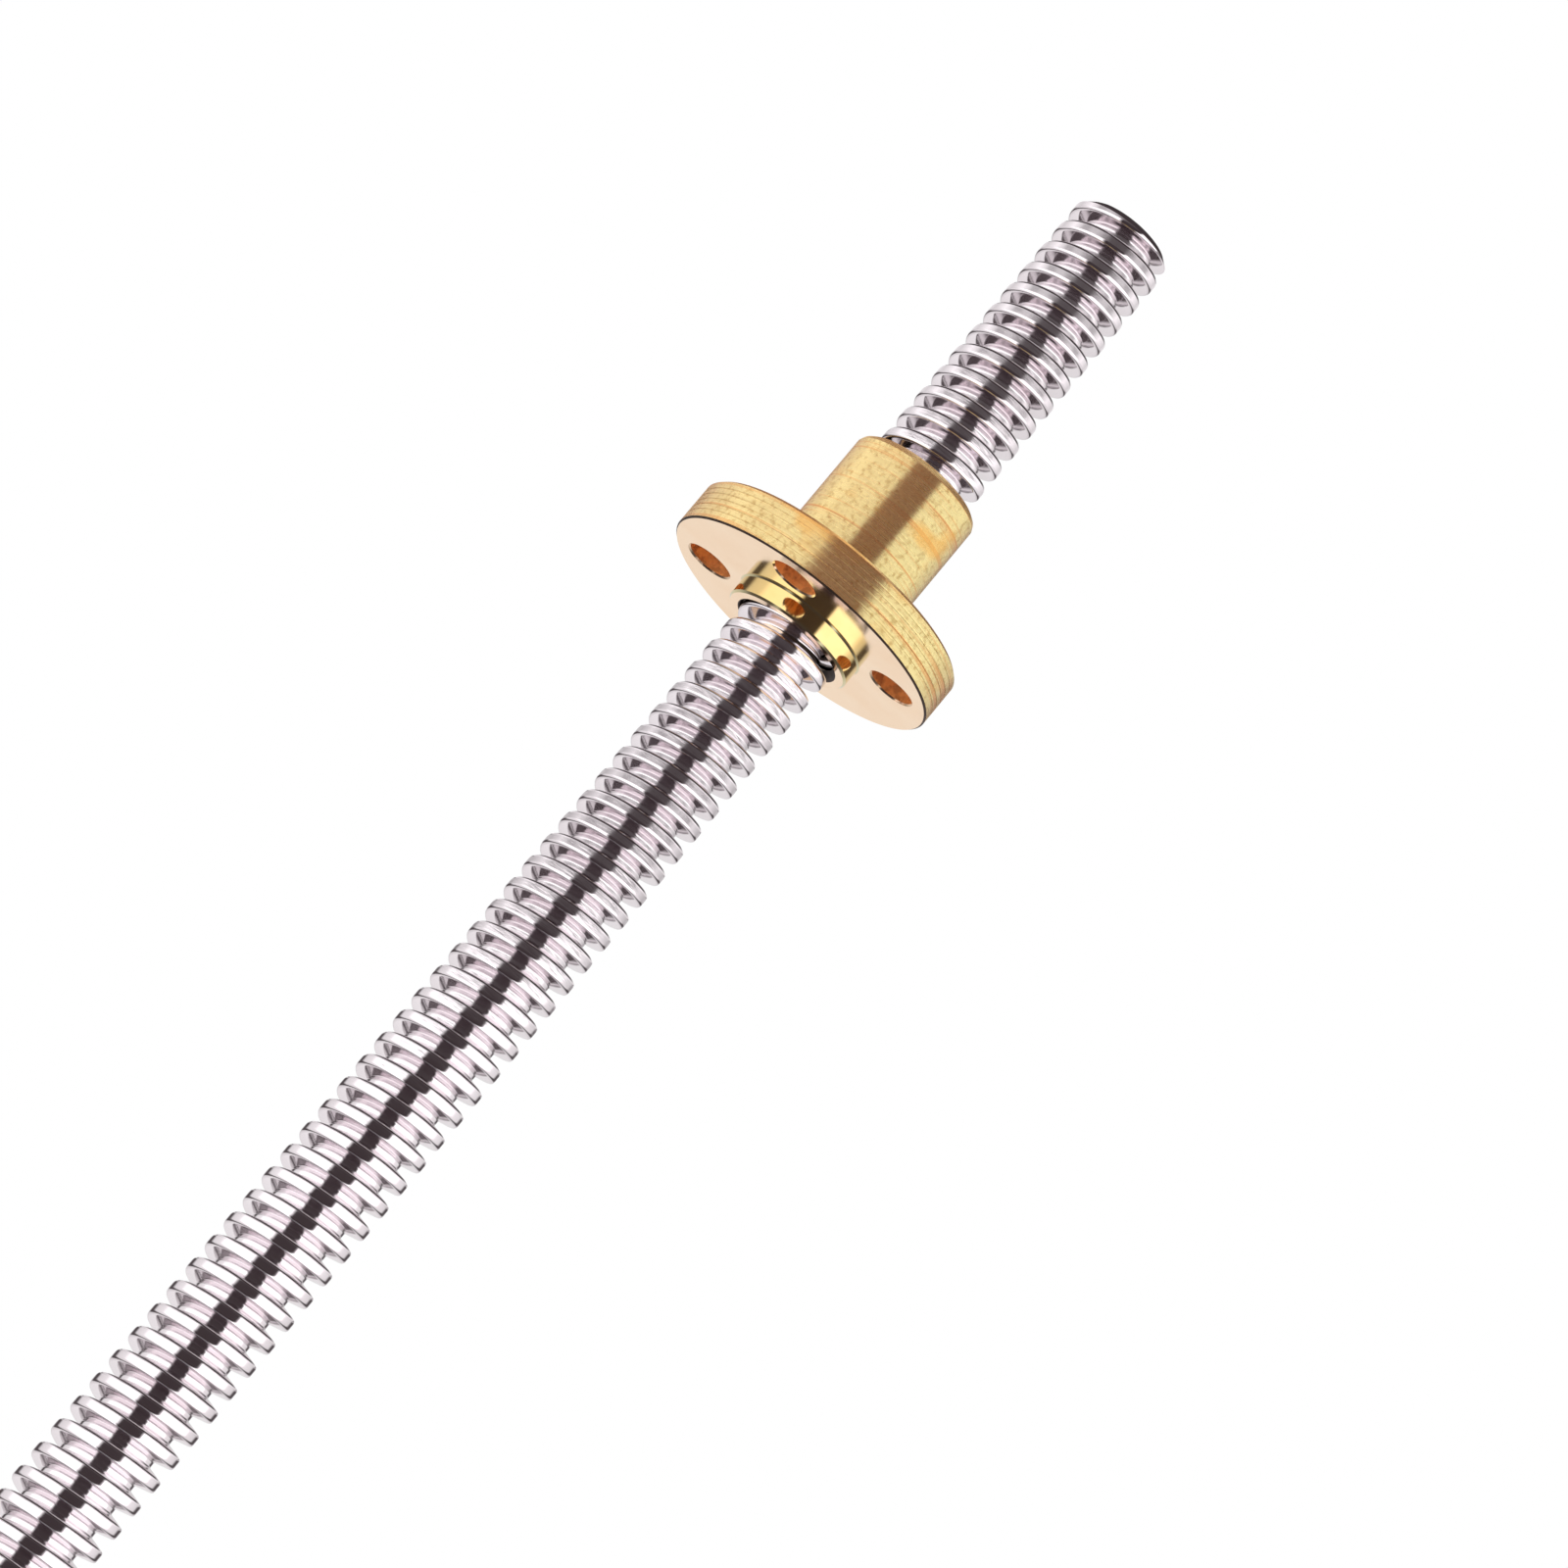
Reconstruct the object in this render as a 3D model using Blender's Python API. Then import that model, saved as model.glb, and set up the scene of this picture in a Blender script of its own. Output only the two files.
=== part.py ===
"""Stepper motor of the 42 mm square frame size with an integrated lead screw and a flanged nut.

The motor stands on its rear face. The screw is the motor's own shaft: a turned journal
inside the motor and an 8 mm trapezoidal thread with a 2 mm pitch outside it. Turning the
rotor drives the nut along the screw.

Frame: the origin is the centre of the motor's rear face, and +Z runs along the screw
towards its free end. Lengths below are in millimetres, and MM turns them into metres.
"""

import math

import bmesh
import bpy
from mathutils import Matrix

MM = 0.001
TAU = 2 * math.pi

# Cutters run this far past the faces they cut, and turned edges are broken by this much.
OVERSHOOT = 1.0
EDGE = 0.3

# Turns (x, y, z) into (z, x, y), so that an outline drawn flat stands upright.
STAND_UP = Matrix(((0, 0, 1, 0), (1, 0, 0, 0), (0, 1, 0, 0), (0, 0, 0, 1)))

# Motor body
FRAME_SIDE = 42.3
CORNER_CUT = 4.0
SCREW_SPACING = 31.0
BODY_LENGTH = 40.0
REAR_CAP_LENGTH = 9.0
FRONT_CAP_LENGTH = 10.0
PILOT_RADIUS = 11.0
PILOT_LENGTH = 2.0
CAVITY_RADIUS = 18.6
HUB_RADIUS = 9.9
REAR_FLOOR = 2.0
FRONT_FLOOR = 3.0
SEAM = 0.3
GAP = 0.15
CAP_SEGMENTS = 36
TURNED_SEGMENTS = 20
STATOR_LOW = REAR_CAP_LENGTH + SEAM
STATOR_HIGH = BODY_LENGTH - FRONT_CAP_LENGTH - SEAM

# M3 screws that hold the caps and the stator together
TAPPED_HOLE_RADIUS = 1.6
SCREW_HOLE_RADIUS = 1.7
SHANK_RADIUS = 1.45
SHANK_END = 35.0
HEAD_RADIUS = 2.7
HEAD_START = 0.4
HEAD_END = 2.3
SCREW_CHAMFER = 0.4
CROSS_ARM = 1.5
CROSS_HALF_WIDTH = 0.3
CROSS_DEPTH = 1.1

# Electrical pieces
POLES = 8
STATOR_BORE = 13.15
STATOR_TOOTH_DEPTH = 0.5
SHOE_RADIUS = 14.4
SLOT_RADIUS = 18.3
NECK_HALF_WIDTH = 2.2
INSULATOR_THICKNESS = 1.0
INSULATOR_BORE = STATOR_BORE + 0.6
INSULATOR_SLOT = SLOT_RADIUS - 0.05
COIL_WALL = 1.7
COIL_CLEARANCE = 0.25
COIL_CORNERS = (0.5, 1.6)
COIL_RADII = (14.6, 17.4)

# Rotor
ROTOR_TEETH = 50
ROTOR_RADIUS = 12.95
ROTOR_TOOTH_DEPTH = 0.6
TOOTH_PITCH = TAU / ROTOR_TEETH
TOOTH_HALF = 0.24  # half a tooth's width, as a share of the pitch
CUP_LENGTH = 8.4
MAGNET_LENGTH = 2.0
MAGNET_RADIUS = 10.5
BORE_RADIUS = 2.5
JOURNAL_RADIUS = 2.4
SPACER_RADIUS = 3.8

# Bearings, 5 mm bore by 16 mm outside by 5 mm wide
BEARING_RADIUS = 8.0
BEARING_WIDTH = 5.0
BALL_COUNT = 7
BALL_RADIUS = 1.389
BALL_CIRCLE = 5.25
OUTER_GROOVE = BALL_CIRCLE + BALL_RADIUS + 0.15
INNER_GROOVE = BALL_CIRCLE - BALL_RADIUS - 0.1
GROOVE_STEP = 0.5
GROOVE_RISE = 0.15
OUTER_LAND = 6.3
INNER_LAND = 4.2
GROOVE_HALF = 1.25
SHIELD_THICKNESS = 0.25
SHIELD_INSET = 0.2
CAGE_RADII = (4.75, 5.75)
CAGE_START = 0.65
CAGE_LENGTH = 2.4
CAGE_POCKET_RADIUS = BALL_RADIUS + 0.12
RACE_SEGMENTS = 22
REAR_BEARING_Z = 3.0
FRONT_BEARING_Z = 34.0
POCKET_RADIUS = BEARING_RADIUS + 0.2
REAR_POCKET_Z = 1.6
FRONT_POCKET_LEAD = 0.6
MOUTH_RADIUS = 4.8
WASHER_RADII = (5.6, 7.7)
WASHER_THICKNESS = 0.3
WASHER_WAVE = 0.3

# Lead screw
PITCH = 2.0
THREAD_RADIUS = 4.0
THREAD_ROOT = 2.75
CREST_WIDTH = 0.88
THREAD_SEGMENTS = 10
COLLAR_RADIUS = 3.85
FLANK_ANGLE = math.radians(15)
SCREW_START = BODY_LENGTH + PILOT_LENGTH + 0.5
COLLAR_END = SCREW_START + 0.6
RUN_OUT_END = SCREW_START + 1.7
RUN_OUT_RADIUS = THREAD_ROOT - 0.4
SCREW_LENGTH = 150.0
SCREW_TIP = BODY_LENGTH + SCREW_LENGTH
TIP_CHAMFER = 0.55
SHOULDER_Z = FRONT_BEARING_Z + BEARING_WIDTH + GAP
JOURNAL_END = 2.6
JOURNAL_CHAMFER = 0.4

# Turned faces are drawn a few degrees off the thread's columns, so no edges coincide.
TURN_OFFSET = math.radians(4)

# Nut
NUT_FLANGE_Z = BODY_LENGTH + 112.5
NUT_BOSS_LENGTH = 1.5
NUT_FLANGE_LENGTH = 3.5
NUT_BARREL_LENGTH = 10.0
NUT_BARREL_RADIUS = 5.1
NUT_BARREL_CHAMFER = 0.5
NUT_FLANGE_RADIUS = 11.0
NUT_HOLE_RADIUS = 1.75
NUT_HOLE_CIRCLE = 8.0
NUT_THREAD_RADIUS = 4.3
NUT_THREAD_ROOT = 3.05
FLANK_CLEARANCE = 0.1
NUT_SEGMENTS = 30

# Connector
CONNECTOR_WIDTH = 15.0
CONNECTOR_HEIGHT = 5.5
CONNECTOR_FRONT = -24.6
CONNECTOR_BACK = -17.9
CONNECTOR_Z = 2.3
CONNECTOR_WALL = 0.9
CONNECTOR_FLOOR = 1.2
PIN_COUNT = 4
PIN_SPACING = 3.0
PIN_SIDE = 0.6
PIN_SLOT_CLEARANCE = 0.1
PIN_TIP = CONNECTOR_FRONT + 1.4
PIN_ELBOW = CONNECTOR_BACK + 2.2
BOARD_Z = 3.1
BOARD_THICKNESS = 1.0
BOARD_RADII = (HUB_RADIUS + 0.4, -CONNECTOR_BACK - 0.6)

# Finishes: colour, roughness, metallic
ALUMINIUM = ((0.78, 0.78, 0.77), 0.38, 1.0)
LAMINATION = ((0.23, 0.23, 0.24), 0.45, 1.0)
STEEL = ((0.80, 0.78, 0.77), 0.16, 1.0)
BEARING_STEEL = ((0.68, 0.68, 0.69), 0.18, 1.0)
BRASS = ((0.86, 0.66, 0.32), 0.24, 1.0)
COPPER = ((0.62, 0.25, 0.10), 0.35, 1.0)
MAGNET = ((0.30, 0.30, 0.31), 0.40, 1.0)
WHITE_PLASTIC = ((0.85, 0.84, 0.80), 0.45, 0.0)
BOARD_GREEN = ((0.03, 0.16, 0.07), 0.50, 0.0)
TIN = ((0.75, 0.74, 0.70), 0.28, 1.0)


# Tools


def clear_scene():
    for obj in list(bpy.data.objects):
        bpy.data.objects.remove(obj, do_unlink=True)


def polar(radius, angle):
    return radius * math.cos(angle), radius * math.sin(angle)


def rotated(x, y, angle):
    across, along = math.cos(angle), math.sin(angle)
    return x * across - y * along, x * along + y * across


def add_mesh(name, bm):
    """An object holding this bmesh, which was drawn in millimetres."""
    bmesh.ops.recalc_face_normals(bm, faces=bm.faces)
    if bm.calc_volume(signed=True) < 0:
        bmesh.ops.reverse_faces(bm, faces=bm.faces)
    bmesh.ops.scale(bm, vec=(MM, MM, MM), verts=bm.verts)
    mesh = bpy.data.meshes.new(name)
    bm.to_mesh(mesh)
    bm.free()
    mesh.shade_smooth()
    mesh.set_sharp_from_angle(angle=math.radians(32))
    obj = bpy.data.objects.new(name, mesh)
    bpy.context.scene.collection.objects.link(obj)
    return obj


def add_piece(name, bm, finish, parent, z=0.0, turn=0.0):
    """A visible sub-part with its own material, at height z on the motor's axis."""
    obj = add_mesh(name, bm)
    colour, roughness, metallic = finish
    material = bpy.data.materials.new(name)
    material.use_nodes = True
    shader = material.node_tree.nodes["Principled BSDF"]
    shader.inputs["Base Color"].default_value = (*colour, 1.0)
    shader.inputs["Roughness"].default_value = roughness
    shader.inputs["Metallic"].default_value = metallic
    obj.data.materials.append(material)
    obj.location = (0, 0, z * MM)
    obj.rotation_euler = (0, 0, turn)
    obj.parent = parent
    return obj


def add_cutter(name, bm):
    obj = add_mesh(name, bm)
    obj.hide_render = True
    obj.display_type = "WIRE"
    return obj


def combine(obj, other, operation):
    modifier = obj.modifiers.new(other.name, "BOOLEAN")
    modifier.operation = operation
    modifier.object = other


def add_axis(name, parent=None, z=0.0):
    """An empty on the motor's axis, which carries the pieces that move together."""
    empty = bpy.data.objects.new(name, None)
    empty.empty_display_size = 10 * MM
    empty.location = (0, 0, z * MM)
    empty.parent = parent
    bpy.context.scene.collection.objects.link(empty)
    return empty


def extrude_outline(bm, outline, low, high):
    """Add a prism with this outline of (x, y) points."""
    bottom = [bm.verts.new((x, y, low)) for x, y in outline]
    top = [bm.verts.new((x, y, high)) for x, y in outline]
    bm.faces.new(bottom[::-1])
    bm.faces.new(top)
    for i, vert in enumerate(bottom):
        after = (i + 1) % len(bottom)
        bm.faces.new((vert, bottom[after], top[after], top[i]))


def extrude_frame(bm, outer, inner, low, high):
    """Add a prism with a hole. Both outlines have the same number of points."""
    rings = []
    for outline, z in ((outer, low), (inner, low), (inner, high), (outer, high)):
        rings.append([bm.verts.new((x, y, z)) for x, y in outline])
    for k, ring in enumerate(rings):
        following = rings[(k + 1) % 4]
        for i, vert in enumerate(ring):
            after = (i + 1) % len(ring)
            bm.faces.new((vert, following[i], following[after], ring[after]))


def add_box(bm, low, high):
    (x0, y0, z0), (x1, y1, z1) = low, high
    extrude_outline(bm, [(x0, y0), (x1, y0), (x1, y1), (x0, y1)], z0, z1)


def turned(bm, profile, segments, wave=0.0):
    """Revolve a closed ring of (radius, z) points about Z, with an optional axial wave."""
    rings = []
    for i in range(segments):
        angle = TAU * i / segments
        lift = wave * math.cos(3 * angle)
        ring = []
        for radius, z in profile:
            ring.append(bm.verts.new((*polar(radius, angle), z + lift)))
        rings.append(ring)
    for i, ring in enumerate(rings):
        following = rings[(i + 1) % segments]
        for k, vert in enumerate(ring):
            after = (k + 1) % len(ring)
            bm.faces.new((vert, following[k], following[after], ring[after]))


def turned_solid(bm, profile, segments, start=0.0):
    """Revolve a profile of (radius, z) points and close both ends with flat faces."""
    rings = []
    for radius, z in profile:
        ring = []
        for i in range(segments):
            ring.append(bm.verts.new((*polar(radius, start + TAU * i / segments), z)))
        rings.append(ring)
    for ring, following in zip(rings, rings[1:]):
        for i, vert in enumerate(ring):
            after = (i + 1) % segments
            bm.faces.new((vert, ring[after], following[after], following[i]))
    bm.faces.new(rings[0][::-1])
    bm.faces.new(rings[-1])


def ring_section(inner, outer, low, high):
    return [(outer, low), (outer, high), (inner, high), (inner, low)]


def tube(inner, outer, length):
    return ring_section(inner, outer, 0.0, length)


def square_outline(side, cut):
    """A square with its corners cut at 45 degrees."""
    half = side / 2
    flat = half - cut
    corners = []
    for quarter in range(4):
        for x, y in ((half, -flat), (half, flat)):
            corners.append(rotated(x, y, quarter * TAU / 4))
    return corners


def corner_places(spacing):
    half = spacing / 2
    return [(half, half), (-half, half), (-half, -half), (half, -half)]


def add_round(bm, centre, radius, low, high, segments):
    x, y = centre
    outline = []
    for i in range(segments):
        dx, dy = polar(radius, TAU * (i + 0.5) / segments)
        outline.append((x + dx, y + dy))
    extrude_outline(bm, outline, low, high)


# Thread


def thread_levels(root, crest, clearance):
    """One pitch of thread as (radius, height) points. Height 0 is the crest's middle."""
    nominal = CREST_WIDTH / 2 + clearance
    crest_half = nominal + (THREAD_RADIUS - crest) * math.tan(FLANK_ANGLE)
    root_half = nominal + (THREAD_RADIUS - root) * math.tan(FLANK_ANGLE)
    return [(root, -root_half), (crest, -crest_half), (crest, crest_half), (root, root_half)]


def add_helicoid(bm, levels, low, high, segments):
    """Add a right-hand screw body from about low to high, closed with a cone at each end."""
    first = math.floor(low / PITCH)
    last = math.ceil(high / PITCH)
    columns = []
    for i in range(segments):
        column = []
        for turn in range(first, last):
            for radius, height in levels:
                z = PITCH * (turn + i / segments) + height
                column.append(bm.verts.new((*polar(radius, TAU * i / segments), z)))
        columns.append(column)
    step = len(levels)
    for i in range(segments - 1):
        for k in range(len(columns[i]) - 1):
            near, far = columns[i], columns[i + 1]
            bm.faces.new((near[k], far[k], far[k + 1], near[k + 1]))
    near, far = columns[-1], columns[0][step:]
    for k in range(len(far) - 1):
        bm.faces.new((near[k], far[k], far[k + 1], near[k + 1]))
    start = bm.verts.new((0, 0, PITCH * first - PITCH))
    end = bm.verts.new((0, 0, PITCH * (last + 1)))
    bottom = [column[0] for column in columns] + columns[0][step:0:-1]
    top = [column[-1] for column in columns[1:]][::-1]
    top += [columns[0][-1]] + columns[-1][-step - 1 : -1]
    for tip, loop in ((start, bottom), (end, top)):
        for k, vert in enumerate(loop):
            bm.faces.new((tip, vert, loop[(k + 1) % len(loop)]))


# Motor body


def corner_hole_cutter(name, radius, low, high):
    """Four cylinders on the motor screws' places."""
    bm = bmesh.new()
    for place in corner_places(SCREW_SPACING):
        add_round(bm, place, radius, low, high, 14)
    return add_cutter(name, bm)


def build_front_cap(parent):
    """The front end bell: pilot boss, bearing pocket and tapped holes in its corners."""
    low = BODY_LENGTH - FRONT_CAP_LENGTH
    bm = bmesh.new()
    extrude_outline(bm, square_outline(FRAME_SIDE, CORNER_CUT), low, BODY_LENGTH)
    cap = add_piece("front_end_cap", bm, ALUMINIUM, parent)

    bm = bmesh.new()
    top = BODY_LENGTH + PILOT_LENGTH
    start = BODY_LENGTH - OVERSHOOT
    boss = [(PILOT_RADIUS, start), (PILOT_RADIUS, top - EDGE), (PILOT_RADIUS - EDGE, top)]
    turned_solid(bm, boss, CAP_SEGMENTS)
    combine(cap, add_cutter("pilot_boss", bm), "UNION")

    bm = bmesh.new()
    below = low - OVERSHOOT
    turned(bm, ring_section(HUB_RADIUS, CAVITY_RADIUS, below, BODY_LENGTH - FRONT_FLOOR), CAP_SEGMENTS)
    combine(cap, add_cutter("front_winding_space", bm), "DIFFERENCE")

    bm = bmesh.new()
    pocket = [
        (HUB_RADIUS + OVERSHOOT, below),
        (HUB_RADIUS + OVERSHOOT, FRONT_BEARING_Z - FRONT_POCKET_LEAD),
        (POCKET_RADIUS, FRONT_BEARING_Z - FRONT_POCKET_LEAD),
        (POCKET_RADIUS, FRONT_BEARING_Z + BEARING_WIDTH + GAP),
        (MOUTH_RADIUS, FRONT_BEARING_Z + BEARING_WIDTH + GAP),
        (MOUTH_RADIUS, top + OVERSHOOT),
    ]
    turned_solid(bm, pocket, CAP_SEGMENTS)
    combine(cap, add_cutter("front_bearing_pocket", bm), "DIFFERENCE")

    above = BODY_LENGTH + OVERSHOOT
    holes = corner_hole_cutter("front_screw_holes", TAPPED_HOLE_RADIUS, below, above)
    combine(cap, holes, "DIFFERENCE")


def build_rear_cap(parent):
    """The rear end bell: closed floor, bearing pocket, screw recesses, connector window."""
    bm = bmesh.new()
    extrude_outline(bm, square_outline(FRAME_SIDE, CORNER_CUT), 0, REAR_CAP_LENGTH)
    cap = add_piece("rear_end_cap", bm, ALUMINIUM, parent)

    bm = bmesh.new()
    above = REAR_CAP_LENGTH + OVERSHOOT
    turned(bm, ring_section(HUB_RADIUS, CAVITY_RADIUS, REAR_FLOOR, above), CAP_SEGMENTS)
    combine(cap, add_cutter("rear_winding_space", bm), "DIFFERENCE")

    bm = bmesh.new()
    turned_solid(bm, [(POCKET_RADIUS, REAR_POCKET_Z), (POCKET_RADIUS, above)], CAP_SEGMENTS)
    combine(cap, add_cutter("rear_bearing_pocket", bm), "DIFFERENCE")

    bm = bmesh.new()
    half = CONNECTOR_WIDTH / 2 + SEAM
    low_corner = (-half, -FRAME_SIDE / 2 - OVERSHOOT, CONNECTOR_Z - SEAM)
    add_box(bm, low_corner, (half, CONNECTOR_BACK + 2 * SEAM, above))
    combine(cap, add_cutter("connector_window", bm), "DIFFERENCE")

    below = -OVERSHOOT
    holes = corner_hole_cutter("rear_screw_holes", SCREW_HOLE_RADIUS, below, above)
    combine(cap, holes, "DIFFERENCE")
    recess = HEAD_RADIUS + SEAM
    recesses = corner_hole_cutter("rear_screw_recesses", recess, below, HEAD_END + SEAM)
    combine(cap, recesses, "DIFFERENCE")


def pole_space(bore, slot, tooth_depth):
    """Outline of the open space inside the stator: eight poles with a shoe on each."""
    shoe_half = (2 + TOOTH_HALF) * TOOTH_PITCH
    neck_at_slot = math.asin(NECK_HALF_WIDTH / slot)
    neck_at_shoe = math.asin(NECK_HALF_WIDTH / SHOE_RADIUS)
    outline = []
    for pole in range(POLES):
        middle = TAU * pole / POLES
        outline.append(polar(slot, middle - neck_at_slot))
        outline.append(polar(SHOE_RADIUS, middle - neck_at_shoe))
        outline.append(polar(SHOE_RADIUS, middle - shoe_half))
        if tooth_depth:
            outline += shoe_teeth(bore, tooth_depth, middle)
        else:
            outline += [polar(bore, middle + side * shoe_half) for side in (-1, 0, 1)]
        outline.append(polar(SHOE_RADIUS, middle + shoe_half))
        outline.append(polar(SHOE_RADIUS, middle + neck_at_shoe))
        outline.append(polar(slot, middle + neck_at_slot))
        outline.append(polar(slot, middle + TAU / POLES / 2))
    return outline


def shoe_teeth(bore, depth, middle):
    """The five small teeth of one pole shoe, at the rotor's tooth pitch."""
    points = []
    for tooth in range(-2, 3):
        centre = middle + tooth * TOOTH_PITCH
        points.append(polar(bore, centre - TOOTH_HALF * TOOTH_PITCH))
        points.append(polar(bore, centre + TOOTH_HALF * TOOTH_PITCH))
        if tooth < 2:
            points.append(polar(bore + depth, centre + TOOTH_PITCH / 2))
    return points


def build_stator(parent):
    """The laminated core, with an insulating frame on each of its ends."""
    bm = bmesh.new()
    extrude_outline(bm, square_outline(FRAME_SIDE, CORNER_CUT), STATOR_LOW, STATOR_HIGH)
    core = add_piece("stator_core", bm, LAMINATION, parent)

    low, high = STATOR_LOW - OVERSHOOT, STATOR_HIGH + OVERSHOOT
    bm = bmesh.new()
    extrude_outline(bm, pole_space(STATOR_BORE, SLOT_RADIUS, STATOR_TOOTH_DEPTH), low, high)
    combine(core, add_cutter("stator_space", bm), "DIFFERENCE")
    holes = corner_hole_cutter("stator_screw_holes", SCREW_HOLE_RADIUS, low, high)
    combine(core, holes, "DIFFERENCE")

    bm = bmesh.new()
    reach = INSULATOR_THICKNESS + OVERSHOOT
    extrude_outline(bm, pole_space(INSULATOR_BORE, INSULATOR_SLOT, 0), low - reach, high + reach)
    opening = add_cutter("insulator_space", bm)
    for name, z in (
        ("front_insulator", STATOR_HIGH + GAP),
        ("rear_insulator", STATOR_LOW - GAP - INSULATOR_THICKNESS),
    ):
        bm = bmesh.new()
        rim = CAVITY_RADIUS - GAP
        turned_solid(bm, [(rim, 0), (rim, INSULATOR_THICKNESS)], CAP_SEGMENTS)
        insulator = add_piece(name, bm, WHITE_PLASTIC, parent, z)
        combine(insulator, opening, "DIFFERENCE")


def build_coils(parent):
    """One coil round the neck of each pole, standing out past the stator's ends."""
    low = STATOR_LOW - INSULATOR_THICKNESS - 2 * GAP
    high = STATOR_HIGH + INSULATOR_THICKNESS + 2 * GAP
    inner = NECK_HALF_WIDTH + COIL_CLEARANCE
    outer = inner + COIL_WALL
    for pole in range(POLES):
        bm = bmesh.new()
        hole = rounded_rectangle(-inner, low, inner, high, COIL_CORNERS[0])
        rim = rounded_rectangle(-outer, low - COIL_WALL, outer, high + COIL_WALL, COIL_CORNERS[1])
        extrude_frame(bm, rim, hole, *COIL_RADII)
        bmesh.ops.transform(bm, matrix=STAND_UP, verts=bm.verts)
        add_piece(f"coil_{pole + 1}", bm, COPPER, parent, turn=TAU * pole / POLES)


def rounded_rectangle(x0, y0, x1, y1, radius):
    outline = []
    centres = (
        (x1 - radius, y1 - radius),
        (x0 + radius, y1 - radius),
        (x0 + radius, y0 + radius),
        (x1 - radius, y0 + radius),
    )
    for quarter, (x, y) in enumerate(centres):
        for part in range(3):
            dx, dy = polar(radius, (quarter + part / 2) * TAU / 4)
            outline.append((x + dx, y + dy))
    return outline


def build_screws(parent):
    """Four long cross-recess screws, put in from the rear and threaded into the front cap."""
    profile = [
        (HEAD_RADIUS - SCREW_CHAMFER, HEAD_START),
        (HEAD_RADIUS, HEAD_START + SCREW_CHAMFER),
        (HEAD_RADIUS, HEAD_END),
        (SHANK_RADIUS, HEAD_END),
        (SHANK_RADIUS, SHANK_END - SCREW_CHAMFER),
        (SHANK_RADIUS - SCREW_CHAMFER, SHANK_END),
    ]
    for index, (x, y) in enumerate(corner_places(SCREW_SPACING)):
        bm = bmesh.new()
        turned_solid(bm, profile, 12)
        screw = add_piece(f"motor_screw_{index + 1}", bm, STEEL, parent)
        screw.location = (x * MM, y * MM, 0)
        bm = bmesh.new()
        cross = [(x + dx, y + dy) for dx, dy in cross_outline(CROSS_ARM, CROSS_HALF_WIDTH)]
        extrude_outline(bm, cross, HEAD_START - OVERSHOOT, HEAD_START + CROSS_DEPTH)
        combine(screw, add_cutter(f"cross_recess_{index + 1}", bm), "DIFFERENCE")


def cross_outline(arm, half_width):
    outline = []
    for quarter in range(4):
        for x, y in ((arm, -half_width), (arm, half_width), (half_width, half_width)):
            outline.append(rotated(x, y, quarter * TAU / 4))
    return outline


# Bearings


def race_profile(face, land, groove):
    """Section of a race: its plain face at radius face, its grooved side at radius land."""
    middle = BEARING_WIDTH / 2
    shallow = groove + math.copysign(GROOVE_RISE, land - groove)
    return [
        (face, 0),
        (face, BEARING_WIDTH),
        (land, BEARING_WIDTH),
        (land, middle + GROOVE_HALF),
        (shallow, middle + GROOVE_HALF - GROOVE_STEP),
        (groove, middle),
        (shallow, middle - GROOVE_HALF + GROOVE_STEP),
        (land, middle - GROOVE_HALF),
        (land, 0),
    ]


def build_bearing(side, z, housing, rotor, balls):
    """A shielded ball bearing. Its outer race is fixed, and its inner race turns."""
    bm = bmesh.new()
    turned(bm, race_profile(BEARING_RADIUS, OUTER_LAND, OUTER_GROOVE), RACE_SEGMENTS)
    add_piece(f"{side}_outer_race", bm, BEARING_STEEL, housing, z)

    bm = bmesh.new()
    turned(bm, race_profile(BORE_RADIUS, INNER_LAND, INNER_GROOVE), RACE_SEGMENTS)
    add_piece(f"{side}_inner_race", bm, BEARING_STEEL, rotor, z)

    far_shield = BEARING_WIDTH - SHIELD_INSET - SHIELD_THICKNESS
    for face, height in (("rear", SHIELD_INSET), ("front", far_shield)):
        bm = bmesh.new()
        turned(bm, tube(INNER_LAND + GAP, OUTER_LAND - GAP, SHIELD_THICKNESS), RACE_SEGMENTS)
        add_piece(f"{side}_bearing_{face}_shield", bm, STEEL, housing, z + height)

    bm = bmesh.new()
    turned(bm, tube(*CAGE_RADII, CAGE_LENGTH), BALL_COUNT * 4)
    cage = add_piece(f"{side}_ball_cage", bm, BRASS, balls, z + CAGE_START)
    middle = z + BEARING_WIDTH / 2
    combine(cage, pocket_cutter(f"{side}_cage_pockets", middle), "DIFFERENCE")

    for ball in range(BALL_COUNT):
        bm = bmesh.new()
        bmesh.ops.create_icosphere(bm, subdivisions=2, radius=BALL_RADIUS)
        bmesh.ops.translate(bm, vec=(BALL_CIRCLE, 0, 0), verts=bm.verts)
        name = f"{side}_ball_{ball + 1}"
        add_piece(name, bm, BEARING_STEEL, balls, middle, TAU * ball / BALL_COUNT)


def pocket_cutter(name, z):
    """One radial cylinder for each ball, which leaves its pocket in the cage."""
    bm = bmesh.new()
    reach = CAGE_RADII[1] - CAGE_RADII[0] + 2 * OVERSHOOT
    pocket = CAGE_POCKET_RADIUS
    for ball in range(BALL_COUNT):
        made = bmesh.ops.create_cone(
            bm, cap_ends=True, segments=10, radius1=pocket, radius2=pocket, depth=reach
        )["verts"]
        bmesh.ops.translate(bm, vec=(0, 0, BALL_CIRCLE), verts=made)
        lay_down = Matrix.Rotation(TAU / 4, 4, "Y")
        place = Matrix.Rotation(TAU * ball / BALL_COUNT, 4, "Z")
        bmesh.ops.transform(bm, matrix=place @ lay_down, verts=made)
    bmesh.ops.translate(bm, vec=(0, 0, z), verts=bm.verts)
    return add_cutter(name, bm)


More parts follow.
